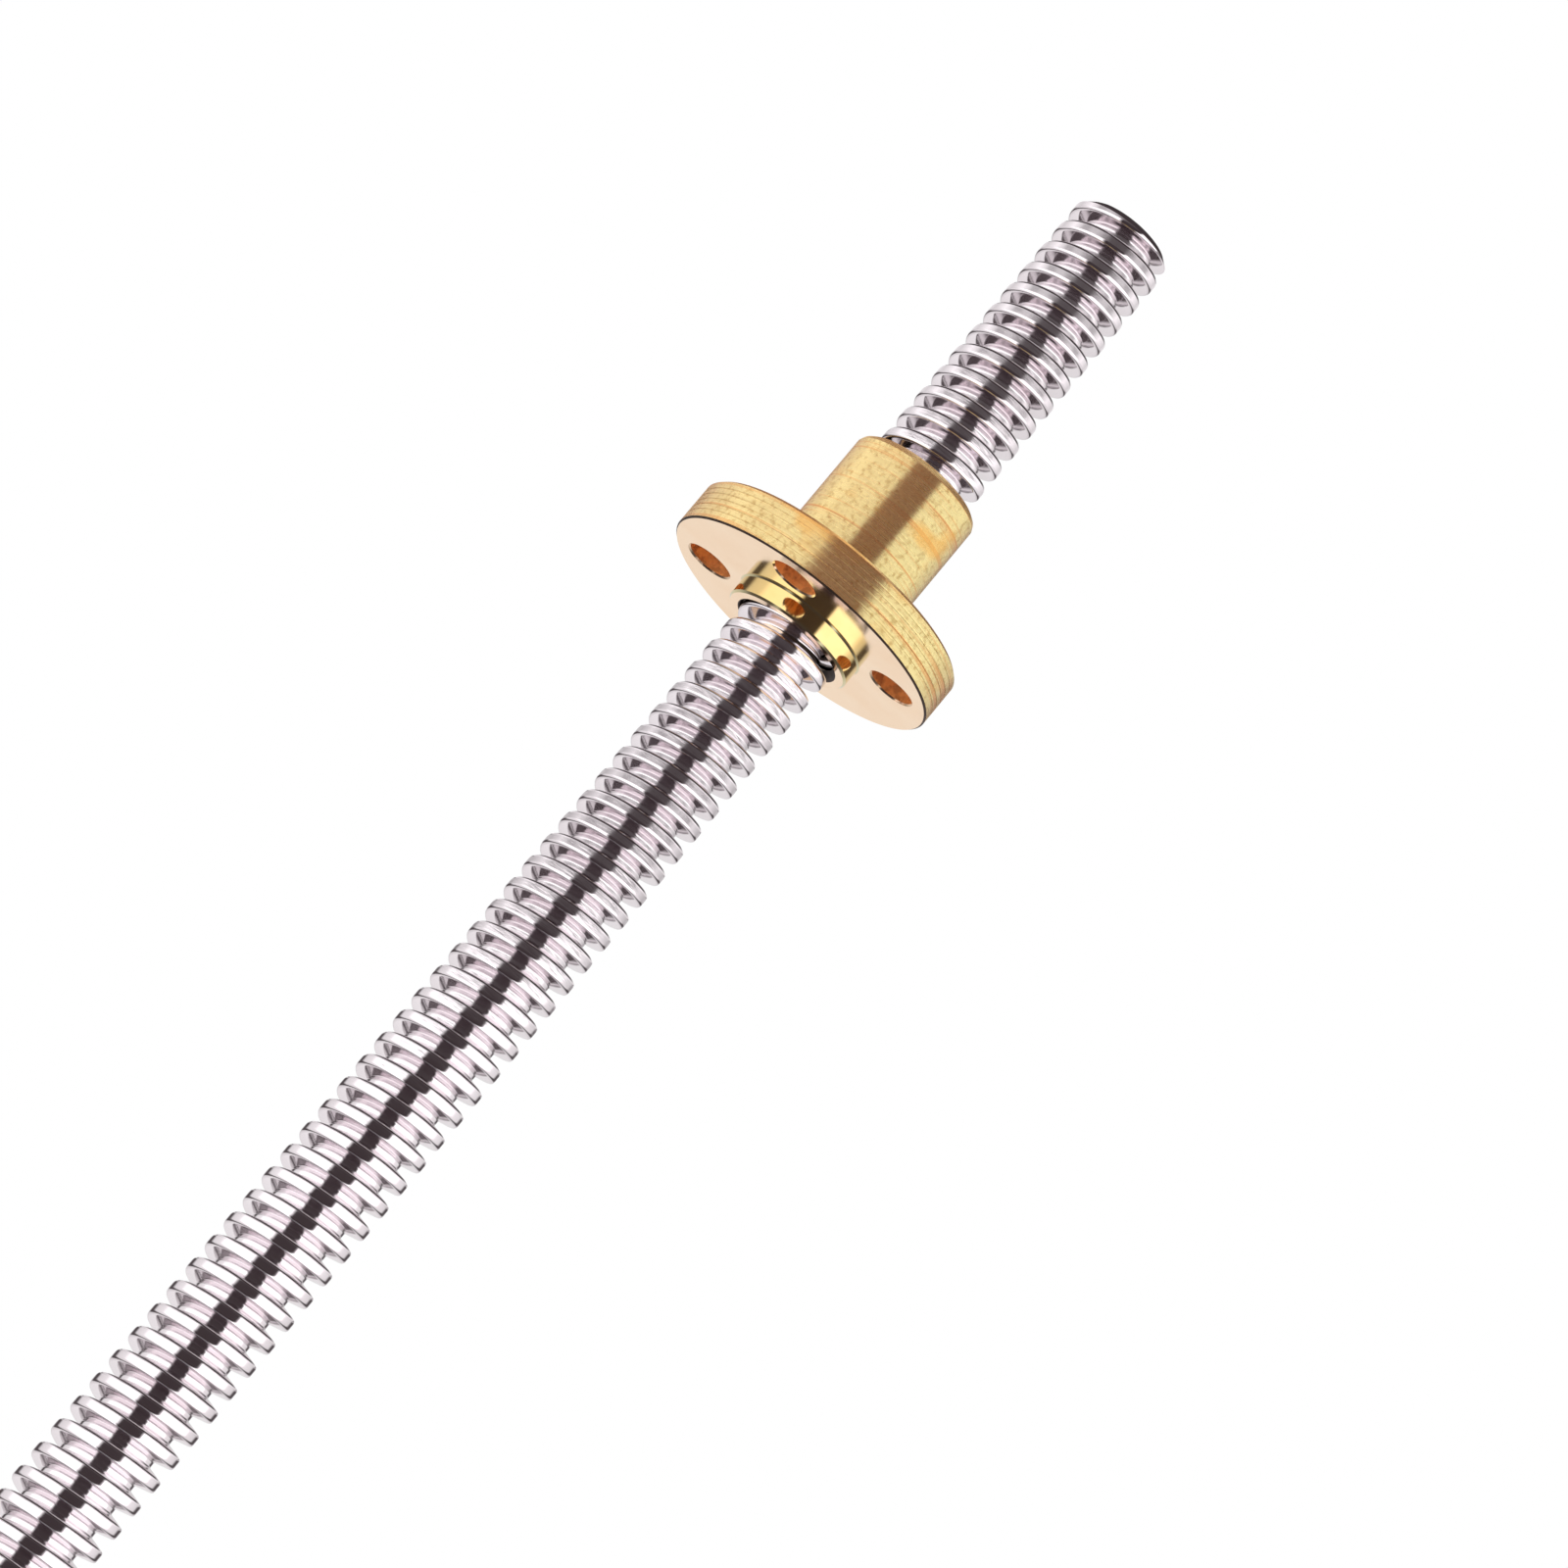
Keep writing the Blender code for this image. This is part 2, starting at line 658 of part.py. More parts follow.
def build_wave_washer(parent):
    """The spring washer that preloads the rear bearing."""
    bm = bmesh.new()
    turned(bm, tube(*WASHER_RADII, WASHER_THICKNESS), TURNED_SEGMENTS, WASHER_WAVE)
    add_piece("wave_washer", bm, STEEL, parent, REAR_POCKET_Z + GAP + WASHER_WAVE)


# Rotor


def toothed_outline(turn):
    outline = []
    for tooth in range(ROTOR_TEETH):
        centre = turn + tooth * TOOTH_PITCH
        outline.append(polar(ROTOR_RADIUS, centre - TOOTH_HALF * TOOTH_PITCH))
        outline.append(polar(ROTOR_RADIUS, centre + TOOTH_HALF * TOOTH_PITCH))
        outline.append(polar(ROTOR_RADIUS - ROTOR_TOOTH_DEPTH, centre + TOOTH_PITCH / 2))
    return outline


def build_rotor(parent):
    """Two toothed cups, half a tooth apart, with the ring magnet between them."""
    middle = (STATOR_LOW + STATOR_HIGH) / 2
    space = MAGNET_LENGTH / 2 + GAP
    bm = bmesh.new()
    ends = [(BORE_RADIUS, STATOR_LOW - OVERSHOOT), (BORE_RADIUS, STATOR_HIGH + OVERSHOOT)]
    turned_solid(bm, ends, TURNED_SEGMENTS)
    bore = add_cutter("rotor_bore", bm)
    for name, low, turn in (
        ("front_rotor_cup", middle + space, 0.0),
        ("rear_rotor_cup", middle - space - CUP_LENGTH, TOOTH_PITCH / 2),
    ):
        bm = bmesh.new()
        extrude_outline(bm, toothed_outline(turn), 0, CUP_LENGTH)
        cup = add_piece(name, bm, LAMINATION, parent, low)
        combine(cup, bore, "DIFFERENCE")

    bm = bmesh.new()
    turned(bm, tube(BORE_RADIUS, MAGNET_RADIUS, MAGNET_LENGTH), TURNED_SEGMENTS)
    add_piece("ring_magnet", bm, MAGNET, parent, middle - MAGNET_LENGTH / 2)

    rotor_end = middle + space + CUP_LENGTH
    front_length = FRONT_BEARING_Z - rotor_end - 2 * GAP
    rear_start = REAR_BEARING_Z + BEARING_WIDTH + GAP
    rear_length = middle - space - CUP_LENGTH - GAP - rear_start
    for name, low, length in (
        ("front_spacer", rotor_end + GAP, front_length),
        ("rear_spacer", rear_start, rear_length),
    ):
        bm = bmesh.new()
        turned(bm, tube(BORE_RADIUS, SPACER_RADIUS, length), 16)
        add_piece(name, bm, BRASS, parent, low)


# Lead screw and nut


def build_lead_screw(parent):
    """The motor's shaft and the screw in one piece: journal, shoulder and thread."""
    bm = bmesh.new()
    turned_solid(
        bm,
        [
            (JOURNAL_RADIUS - JOURNAL_CHAMFER, JOURNAL_END),
            (JOURNAL_RADIUS, JOURNAL_END + JOURNAL_CHAMFER),
            (JOURNAL_RADIUS, SHOULDER_Z),
            (COLLAR_RADIUS, SHOULDER_Z),
            (COLLAR_RADIUS, COLLAR_END),
            (RUN_OUT_RADIUS, RUN_OUT_END),
        ],
        TURNED_SEGMENTS,
        start=TURN_OFFSET,
    )
    screw = add_piece("lead_screw", bm, STEEL, parent)

    bm = bmesh.new()
    levels = thread_levels(THREAD_ROOT, THREAD_RADIUS, 0.0)
    add_helicoid(bm, levels, SCREW_START - 2 * PITCH, SCREW_TIP + 2 * PITCH, THREAD_SEGMENTS)
    thread = add_cutter("screw_thread", bm)

    bm = bmesh.new()
    outside = THREAD_RADIUS + OVERSHOOT
    limits = [
        (outside, SCREW_START),
        (outside, SCREW_TIP - TIP_CHAMFER - OVERSHOOT),
        (THREAD_RADIUS - TIP_CHAMFER, SCREW_TIP),
    ]
    turned_solid(bm, limits, TURNED_SEGMENTS, start=2 * TURN_OFFSET)
    combine(thread, add_cutter("thread_limits", bm), "INTERSECT")
    combine(screw, thread, "UNION")


def build_nut(parent):
    """Flanged nut: a short boss towards the motor, a round flange with four holes, a barrel."""
    boss = NUT_FLANGE_Z - NUT_BOSS_LENGTH
    flange_end = NUT_FLANGE_Z + NUT_FLANGE_LENGTH
    barrel_end = flange_end + NUT_BARREL_LENGTH
    bm = bmesh.new()
    turned_solid(
        bm,
        [
            (NUT_BARREL_RADIUS - EDGE, boss),
            (NUT_BARREL_RADIUS, boss + EDGE),
            (NUT_BARREL_RADIUS, NUT_FLANGE_Z),
            (NUT_FLANGE_RADIUS - EDGE, NUT_FLANGE_Z),
            (NUT_FLANGE_RADIUS, NUT_FLANGE_Z + EDGE),
            (NUT_FLANGE_RADIUS, flange_end - EDGE),
            (NUT_FLANGE_RADIUS - EDGE, flange_end),
            (NUT_BARREL_RADIUS, flange_end),
            (NUT_BARREL_RADIUS, barrel_end - NUT_BARREL_CHAMFER),
            (NUT_BARREL_RADIUS - NUT_BARREL_CHAMFER, barrel_end),
        ],
        NUT_SEGMENTS,
    )
    bmesh.ops.translate(bm, vec=(0, 0, -NUT_FLANGE_Z), verts=bm.verts)
    nut = add_piece("flanged_nut", bm, BRASS, parent)

    bm = bmesh.new()
    low, high = NUT_FLANGE_Z - OVERSHOOT, flange_end + OVERSHOOT
    for quarter in range(4):
        add_round(bm, polar(NUT_HOLE_CIRCLE, quarter * TAU / 4), NUT_HOLE_RADIUS, low, high, 12)
    combine(nut, add_cutter("nut_flange_holes", bm), "DIFFERENCE")

    bm = bmesh.new()
    levels = thread_levels(NUT_THREAD_ROOT, NUT_THREAD_RADIUS, FLANK_CLEARANCE)
    add_helicoid(bm, levels, boss - PITCH, barrel_end + PITCH, THREAD_SEGMENTS + 2)
    combine(nut, add_cutter("nut_thread", bm), "DIFFERENCE")


# Connector


def build_connector(parent):
    """A socket in the rear cap's window, with its pins bent down to the terminal board."""
    half = CONNECTOR_WIDTH / 2
    top = CONNECTOR_Z + CONNECTOR_HEIGHT
    bm = bmesh.new()
    add_box(bm, (-half, CONNECTOR_FRONT, CONNECTOR_Z), (half, CONNECTOR_BACK, top))
    housing = add_piece("connector_housing", bm, WHITE_PLASTIC, parent)
    bm = bmesh.new()
    inside = half - CONNECTOR_WALL
    mouth_corner = (-inside, CONNECTOR_FRONT - OVERSHOOT, CONNECTOR_Z + CONNECTOR_WALL)
    add_box(bm, mouth_corner, (inside, CONNECTOR_BACK - CONNECTOR_FLOOR, top - CONNECTOR_WALL))
    combine(housing, add_cutter("connector_socket", bm), "DIFFERENCE")

    bm = bmesh.new()
    pin_z = CONNECTOR_Z + CONNECTOR_HEIGHT / 2
    places = [(index - (PIN_COUNT - 1) / 2) * PIN_SPACING for index in range(PIN_COUNT)]
    slot = PIN_SIDE / 2 + PIN_SLOT_CLEARANCE
    for x in places:
        slot_corner = (x - slot, CONNECTOR_BACK - 2 * OVERSHOOT, pin_z - slot)
        add_box(bm, slot_corner, (x + slot, CONNECTOR_BACK + OVERSHOOT, pin_z + slot))
    combine(housing, add_cutter("connector_pin_slots", bm), "DIFFERENCE")

    for index, x in enumerate(places):
        bm = bmesh.new()
        add_bent_pin(bm, x, pin_z)
        add_piece(f"connector_pin_{index + 1}", bm, TIN, parent)

    bm = bmesh.new()
    turned(bm, tube(*BOARD_RADII, BOARD_THICKNESS), CAP_SEGMENTS)
    add_piece("terminal_board", bm, BOARD_GREEN, parent, BOARD_Z)


def add_bent_pin(bm, x, z):
    """A square pin that runs in through the housing and turns down to the board."""
    half = PIN_SIDE / 2
    foot = BOARD_Z + BOARD_THICKNESS + GAP
    side = [
        (PIN_TIP, z - half),
        (PIN_ELBOW - PIN_SIDE, z - half),
        (PIN_ELBOW - PIN_SIDE, foot),
        (PIN_ELBOW, foot),
        (PIN_ELBOW, z + half),
        (PIN_TIP, z + half),
    ]
    extrude_outline(bm, side, x - half, x + half)
    bmesh.ops.transform(bm, matrix=STAND_UP, verts=bm.verts)


def main():
    clear_scene()
    motor = add_axis("motor_frame")
    rotor = add_axis("rotor_axis", motor)
    front_balls = add_axis("front_ball_axis", motor)
    rear_balls = add_axis("rear_ball_axis", motor)
    nut_slide = add_axis("nut_slide", motor, NUT_FLANGE_Z)
    build_front_cap(motor)
    build_rear_cap(motor)
    build_stator(motor)
    build_coils(motor)
    build_screws(motor)
    build_wave_washer(motor)
    build_connector(motor)
    build_bearing("front", FRONT_BEARING_Z, motor, rotor, front_balls)
    build_bearing("rear", REAR_BEARING_Z, motor, rotor, rear_balls)
    build_rotor(rotor)
    build_lead_screw(rotor)
    build_nut(nut_slide)


main()
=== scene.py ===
"""The looks of the stepper motor with its lead screw and flanged nut.

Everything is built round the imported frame: +Z runs along the screw, and the motor stands on
z = 0. Sizes here are in millimetres, and MM turns them into metres.
"""

import math

import bmesh
import bpy
from mathutils import Matrix, Vector


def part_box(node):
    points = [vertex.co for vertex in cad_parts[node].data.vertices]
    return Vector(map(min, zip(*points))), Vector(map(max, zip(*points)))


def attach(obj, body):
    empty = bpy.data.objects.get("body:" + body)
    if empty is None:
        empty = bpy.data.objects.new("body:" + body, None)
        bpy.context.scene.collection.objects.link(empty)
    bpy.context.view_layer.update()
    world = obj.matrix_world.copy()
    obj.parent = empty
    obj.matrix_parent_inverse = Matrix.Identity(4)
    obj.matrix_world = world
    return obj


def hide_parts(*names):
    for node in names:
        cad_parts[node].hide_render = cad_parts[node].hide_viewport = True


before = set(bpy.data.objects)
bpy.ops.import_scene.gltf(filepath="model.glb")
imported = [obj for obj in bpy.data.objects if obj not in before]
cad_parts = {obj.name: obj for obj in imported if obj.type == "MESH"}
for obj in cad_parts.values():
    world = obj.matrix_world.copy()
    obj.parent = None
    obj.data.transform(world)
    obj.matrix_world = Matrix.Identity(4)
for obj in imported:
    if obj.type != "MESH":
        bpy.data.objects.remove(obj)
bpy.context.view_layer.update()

MM = 0.001
TAU = 2 * math.pi

# Sizes that the frame gives
SCREW_LOW, SCREW_HIGH = (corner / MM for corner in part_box("lead_screw"))
NUT_LOW, NUT_HIGH = (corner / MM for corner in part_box("flanged_nut"))
FRONT_CAP_LOW, FRONT_CAP_HIGH = (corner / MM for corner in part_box("front_end_cap"))
REAR_CAP_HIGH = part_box("rear_end_cap")[1] / MM
CORE_LOW, CORE_HIGH = (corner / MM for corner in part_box("stator_core"))

# Screw
PITCH = 2.0
CREST = 4.0
ROOT = 2.75
CREST_HALF = 0.44
ROOT_HALF = 0.775
THREAD_FILLETS = (0.25, 0.2)
THREAD_SEGMENTS = 64
JOURNAL_RADIUS = 2.4
COLLAR_RADIUS = 3.85
PILOT_HEIGHT = 2.0
FACE_Z = FRONT_CAP_HIGH.z - PILOT_HEIGHT
THREAD_START = FACE_Z + PILOT_HEIGHT + 0.5
TIP_Z = SCREW_HIGH.z
TIP_CHAMFER = 0.55

# Nut
BOSS_LENGTH = 1.5
FLANGE_LENGTH = 3.5
BARREL_RADIUS = 5.1
FLANGE_RADIUS = NUT_HIGH.x
NUT_HOLE_RADIUS = 1.75
FLANGE_Z = NUT_LOW.z + BOSS_LENGTH
FLANGE_END = FLANGE_Z + FLANGE_LENGTH
LOWER_EDGE = 0.13
NUT_CREST = 4.22
NUT_ROOT = 3.0
NUT_HOLES = ((8, 0), (0, 8), (-8, 0), (0, -8))

# Motor: the same sizes as its CAD pieces, with finer edges
FRAME_HALF = CORE_HIGH.x
CORNER_CUT = 4.0
HOLE_PLACES = [(sx * 15.5, sy * 15.5) for sx, sy in ((1, 1), (-1, 1), (-1, -1), (1, -1))]
SHEET = 0.5
CAVITY_RADIUS = 18.6
HUB_RADIUS = 9.9
FRONT_FLOOR = 3.0
REAR_FLOOR = 2.0
REAR_POCKET_Z = 1.6
SHOULDER = 0.85
REAR_MARK = (11.0, 11.8)
PILOT_RADIUS = 11.0
BEARING_POCKET = 8.2
MOUTH_RADIUS = 4.8
TAPPED_RADIUS = 1.6
CLEAR_RADIUS = 1.7
HEAD_RADIUS = 2.7
RECESS_RADIUS = 3.0
RECESS_DEPTH = 2.6
POLES = 8

# The photograph's camera, seen from the middle of the flange's motor side
CAMERA_LENS = 149.6
CAMERA_BEARING = math.radians(286.72)
CAMERA_REACH = 434.1
CAMERA_DROP = 127.1
CAMERA_HEADING = math.radians(105.9)
CAMERA_PITCH = math.radians(15.155)
CAMERA_ROLL = math.radians(39.62)

# The tent of light. Heights and bearings are in degrees, and bearing 0 is where the camera
# stands. Stops are (degrees, brightness), in BACK_EDGE measured from the slanted edge. A window
# is the heights over which it opens and closes, and its brightness.
UPPER_WINDOW = ((17.5, 18.3), (23.5, 26.0), 1.0)
LOWER_WINDOW = ((11.6, 13.4), (15.4, 16.2), 0.72)
BACK_EDGE = (
    (-200, 1.0),
    (-56, 1.0),
    (-44, 0.66),
    (-20, 0.55),
    (-10, 0.03),
    (6, 0.03),
    (13, 0.45),
    (46, 0.64),
    (120, 0.64),
)
HIGH_BELT = (
    (0, 0.03),
    (18, 0.04),
    (36, 0.21),
    (50, 0.38),
    (63, 0.38),
    (72, 0.28),
    (84, 0.30),
    (92, 0.50),
    (108, 0.70),
    (140, 0.45),
    (180, 0.55),
)
DARK_TENT = (0.055, 0.042, 0.045)
LIGHT_TENT = (1.62, 1.58, 1.60)


# Plain metals: two tones, roughness from and to, grain scale, grain stretch, grain depth
EVEN = (1, 1, 1)
RINGS = (0.1, 0.1, 4)
METALS = {
    "cast_aluminium": ((0.59, 0.60, 0.62), (0.65, 0.66, 0.68), (0.34, 0.50), 1500, EVEN, 0.020),
    "laminations": ((0.32, 0.33, 0.35), (0.39, 0.40, 0.42), (0.26, 0.42), 600, (1, 1, 8), 0.010),
    "zinc_plate": ((0.60, 0.63, 0.68), (0.72, 0.75, 0.79), (0.20, 0.34), 700, EVEN, 0.004),
    "tin_plate": ((0.76, 0.76, 0.74), (0.85, 0.85, 0.83), (0.16, 0.30), 1500, EVEN, 0.004),
    "bearing_steel": ((0.76, 0.77, 0.79), (0.86, 0.87, 0.89), (0.06, 0.16), 900, RINGS, 0.004),
    "bushing_brass": ((0.62, 0.48, 0.20), (0.74, 0.60, 0.28), (0.18, 0.32), 800, RINGS, 0.004),
    "pressed_steel": ((0.60, 0.62, 0.65), (0.72, 0.74, 0.77), (0.20, 0.36), 500, EVEN, 0.004),
    "sintered_magnet": ((0.20, 0.20, 0.21), (0.29, 0.29, 0.31), (0.34, 0.50), 1800, EVEN, 0.012),
}

# Plastics: two tones, roughness from and to
PLASTICS = {
    "socket_plastic": ((0.80, 0.79, 0.74), (0.86, 0.85, 0.80), (0.34, 0.48)),
    "bobbin_plastic": ((0.70, 0.68, 0.60), (0.78, 0.76, 0.68), (0.40, 0.55)),
    "board_resin": ((0.02, 0.14, 0.06), (0.03, 0.20, 0.09), (0.22, 0.38)),
}


# Mesh tools


def polar(radius, angle):
    return radius * math.cos(angle), radius * math.sin(angle)


def make_object(name, bm, sharp=30):
    """An object from this bmesh, drawn in millimetres, with its faces pointing out."""
    bmesh.ops.recalc_face_normals(bm, faces=bm.faces)
    if bm.calc_volume(signed=True) < 0:
        bmesh.ops.reverse_faces(bm, faces=bm.faces)
    bmesh.ops.scale(bm, vec=(MM, MM, MM), verts=bm.verts)
    mesh = bpy.data.meshes.new(name)
    bm.to_mesh(mesh)
    bm.free()
    mesh.shade_smooth()
    mesh.set_sharp_from_angle(angle=math.radians(sharp))
    obj = bpy.data.objects.new(name, mesh)
    bpy.context.scene.collection.objects.link(obj)
    return obj


def carve(obj, cutters, sharp=30):
    """Apply (bmesh, operation) pairs to the object, one after another."""
    for index, (bm, operation) in enumerate(cutters):
        tool = make_object(f"{obj.name}_tool_{index}", bm)
        modifier = obj.modifiers.new("carve", "BOOLEAN")
        modifier.operation = operation
        modifier.object = tool
        bpy.context.view_layer.update()
        graph = bpy.context.evaluated_depsgraph_get()
        mesh = bpy.data.meshes.new_from_object(obj.evaluated_get(graph))
        obj.modifiers.clear()
        obj.data = mesh
        bpy.data.objects.remove(tool, do_unlink=True)
    obj.data.shade_smooth()
    obj.data.set_sharp_from_angle(angle=math.radians(sharp))
    return obj


def skin(bm, rings):
    """Faces between each ring of vertices and the next."""
    for ring, following in zip(rings, rings[1:]):
        for i, vert in enumerate(ring):
            after = (i + 1) % len(ring)
            bm.faces.new((vert, ring[after], following[after], following[i]))


def close_ends(bm, rings):
    bm.faces.new(rings[0][::-1])
    bm.faces.new(rings[-1])


def circle_of(bm, radius, z, segments, start=0.0):
    """One ring of vertices round Z."""
    angles = [start + TAU * i / segments for i in range(segments)]
    return [bm.verts.new((*polar(radius, angle), z)) for angle in angles]


def turned_solid(bm, profile, segments, start=0.0):
    """Revolve (radius, z) points about Z and close both ends with flat faces."""
    rings = [circle_of(bm, radius, z, segments, start) for radius, z in profile]
    skin(bm, rings)
    close_ends(bm, rings)


def turned_block(profile, segments, start=0.011):
    bm = bmesh.new()
    turned_solid(bm, profile, segments, start)
    return bm


def turned_holes(places, profile, segments, start):
    """The same turned shape at each (x, y) place."""
    bm = bmesh.new()
    for place in places:
        before = len(bm.verts)
        turned_solid(bm, profile, segments, start)
        bm.verts.ensure_lookup_table()
        bmesh.ops.translate(bm, vec=(*place, 0), verts=bm.verts[before:])
    return bm


def rounded(points, radii, steps=3, guard=0.03):
    """Replace the inner corners of a path of 2-D points with arcs that start this far off.

    A guard point just before and after each arc keeps the smooth shading of the flats flat.
    """
    path = [points[0]]
    for before, point, after, radius in zip(points, points[1:], points[2:], radii):
        corner = Vector(point)
        back = Vector(before) - corner
        ahead = Vector(after) - corner
        reach = min(radius, 0.4 * back.length, 0.4 * ahead.length)
        first = corner + back.normalized() * reach
        last = corner + ahead.normalized() * reach
        path.append(tuple(first + back.normalized() * guard))
        for step in range(steps + 1):
            t = step / steps
            bent = first * (1 - t) ** 2 + corner * 2 * t * (1 - t) + last * t**2
            path.append(tuple(bent))
        path.append(tuple(last + ahead.normalized() * guard))
    return path + [points[-1]]


def add_helicoid(bm, levels, pitch, low, high, segments):
    """A right-hand screw body from about low to high, closed with a cone at each end."""
    first = math.floor(low / pitch)
    last = math.ceil(high / pitch)
    columns = []
    for i in range(segments):
        column = []
        for turn in range(first, last):
            for radius, height in levels:
                z = pitch * (turn + i / segments) + height
                column.append(bm.verts.new((*polar(radius, TAU * i / segments), z)))
        columns.append(column)
    step = len(levels)
    pairs = list(zip(columns, columns[1:])) + [(columns[-1], columns[0][step:])]
    for near, far in pairs:
        for k in range(min(len(near), len(far)) - 1):
            bm.faces.new((near[k], far[k], far[k + 1], near[k + 1]))
    bottom = [column[0] for column in columns] + columns[0][step:0:-1]
    top = [column[-1] for column in columns[1:]][::-1]
    top += [columns[0][-1]] + columns[-1][-step - 1 : -1]
    for z, loop in ((pitch * (first - 1), bottom), (pitch * (last + 1), top)):
        tip = bm.verts.new((0, 0, z))
        for k, vert in enumerate(loop):
            bm.faces.new((tip, vert, loop[(k + 1) % len(loop)]))


def thread_levels(pitch, root, crest, root_half, crest_half, fillets):
    """One pitch of thread, its root and crest corners rounded, as (radius, height) points."""
    middle = pitch / 2
    path = [
        (root, -middle),
        (root, -root_half),
        (crest, -crest_half),
        (crest, crest_half),
        (root, root_half),
        (root, middle),
    ]
    at_root, at_crest = fillets
    return rounded(path, (at_root, at_crest, at_crest, at_root))[:-1]


# Materials


class Shader:
    """A material's node tree, with short ways to add and join nodes."""

    def __init__(self, name):
        self.material = bpy.data.materials.new(name)
        self.material.use_nodes = True
        self.tree = self.material.node_tree
        self.surface = self.tree.nodes["Principled BSDF"]

    def node(self, kind, **settings):
        made = self.tree.nodes.new("ShaderNode" + kind)
        for key, value in settings.items():
            setattr(made, key, value)
        return made

    def join(self, output, target):
        self.tree.links.new(output, target)

    def set(self, **values):
        for key, value in values.items():
            self.surface.inputs[key.replace("_", " ")].default_value = value

    def noise(self, scale, detail=3.0, stretch=(1, 1, 1)):
        """Noise whose cells are about 1/scale metres, stretched by the given factors."""
        mapping = self.node("Mapping")
        mapping.inputs["Scale"].default_value = stretch
        self.join(self.node("TexCoord").outputs["Object"], mapping.inputs["Vector"])
        made = self.node("TexNoise")
        made.inputs["Scale"].default_value = scale
        made.inputs["Detail"].default_value = detail
        self.join(mapping.outputs["Vector"], made.inputs["Vector"])
        return made.outputs["Fac"]

    def ribs(self, stretch, pitch):
        """Ribs this many metres apart, counted along the length of the stretched position."""
        mapping = self.node("Mapping")
        mapping.inputs["Scale"].default_value = stretch
        self.join(self.node("TexCoord").outputs["Object"], mapping.inputs["Vector"])
        length = self.node("VectorMath", operation="LENGTH")
        self.join(mapping.outputs["Vector"], length.inputs[0])
        turns = self.node("Math", operation="MULTIPLY")
        turns.inputs[1].default_value = TAU / pitch
        self.join(length.outputs["Value"], turns.inputs[0])
        wave = self.node("Math", operation="SINE")
        self.join(turns.outputs[0], wave.inputs[0])
        return wave.outputs[0]

    def ramp(self, factor, *stops):
        """Colours or greys at (place, value) stops."""
        made = self.node("ValToRGB")
        band = made.color_ramp
        while len(band.elements) < len(stops):
            band.elements.new(0.5)
        for element, (where, value) in zip(band.elements, stops):
            element.position = where
            if isinstance(value, (int, float)):
                value = (value, value, value)
            element.color = (*value, 1.0)
        self.join(factor, made.inputs["Fac"])
        return made.outputs["Color"]

    def spread(self, factor, low, high):
        made = self.node("MapRange")
        made.inputs["To Min"].default_value = low
        made.inputs["To Max"].default_value = high
        self.join(factor, made.inputs["Value"])
        return made.outputs["Result"]

    def blend(self, share, under, over):
        """The colour under, with this share of the colour over."""
        made = self.node("Mix", data_type="RGBA")
        for value, socket in ((share, 0), (under, 6), (over, 7)):
            if isinstance(value, tuple):
                made.inputs[socket].default_value = (*value, 1.0)
            else:
                self.join(value, made.inputs[socket])
        return made.outputs[2]

    def tarnished(self, material, colour, share):
        """Lay a thin matt film of this colour over the metal."""
        film = self.node("BsdfDiffuse")
        film.inputs["Color"].default_value = (*colour, 1.0)
        mix = self.node("MixShader")
        mix.inputs[0].default_value = share
        self.join(self.surface.outputs[0], mix.inputs[1])
        self.join(film.outputs[0], mix.inputs[2])
        self.join(mix.outputs[0], self.tree.nodes["Material Output"].inputs["Surface"])
        return material

    def bump(self, height, distance, strength=1.0, under=None):
        made = self.node("Bump")
        made.inputs["Distance"].default_value = distance
        made.inputs["Strength"].default_value = strength
        self.join(height, made.inputs["Height"])
        if under:
            self.join(under, made.inputs["Normal"])
        return made.outputs["Normal"]

    def finish(self, colour=None, roughness=None, normal=None):
        for name, output in (("Base Color", colour), ("Roughness", roughness), ("Normal", normal)):
            if output:
                self.join(output, self.surface.inputs[name])
        return self.material


def polished_steel():
    """Bright rolled thread: faint pinkish grey, with fine scratches round the screw."""
    shader = Shader("polished_steel")
    shader.set(Metallic=1.0)
    streaks = shader.noise(900, 4.0, (1, 1, 5))
    stains = shader.noise(160, 2.0)
    colour = shader.ramp(stains, (0.3, (0.83, 0.78, 0.80)), (0.7, (0.89, 0.85, 0.87)))
    roughness = shader.spread(streaks, 0.05, 0.13)
    normal = shader.bump(streaks, 0.004 * MM)
    return shader.finish(colour, roughness, normal)


def turned_brass():
    """Lathe-turned brass: fine rings about the axis blur its reflections along the axis only."""
    shader = Shader("turned_brass")
    shader.set(Metallic=1.0, Anisotropic=0.95, Anisotropic_Rotation=0.25)
    tangent = shader.node("Tangent", direction_type="RADIAL", axis="Z")
    shader.join(tangent.outputs["Tangent"], shader.surface.inputs["Tangent"])
    rings = shader.noise(700, 3.0, (0.05, 0.05, 4))
    speckle = shader.noise(2600, 2.0)
    stain = shader.noise(210, 2.0, (1, 1, 1.4))
    colour = shader.ramp(speckle, (0.28, (0.62, 0.52, 0.20)), (0.50, (0.95, 0.88, 0.41)))
    ringed = shader.blend(shader.ramp(rings, (0.36, 0.95), (0.47, 0.0)), colour, (0.78, 0.42, 0.14))
    stained = shader.blend(shader.ramp(stain, (0.60, 0.0), (0.70, 0.65)), ringed, (0.95, 0.55, 0.12))
    rough = shader.spread(rings, 0.22, 0.32)
    normal = shader.bump(rings, 0.012 * MM)
    normal = shader.bump(speckle, 0.004 * MM, under=normal)
    return shader.tarnished(shader.finish(stained, rough, normal), (0.95, 0.42, 0.18), 0.24)


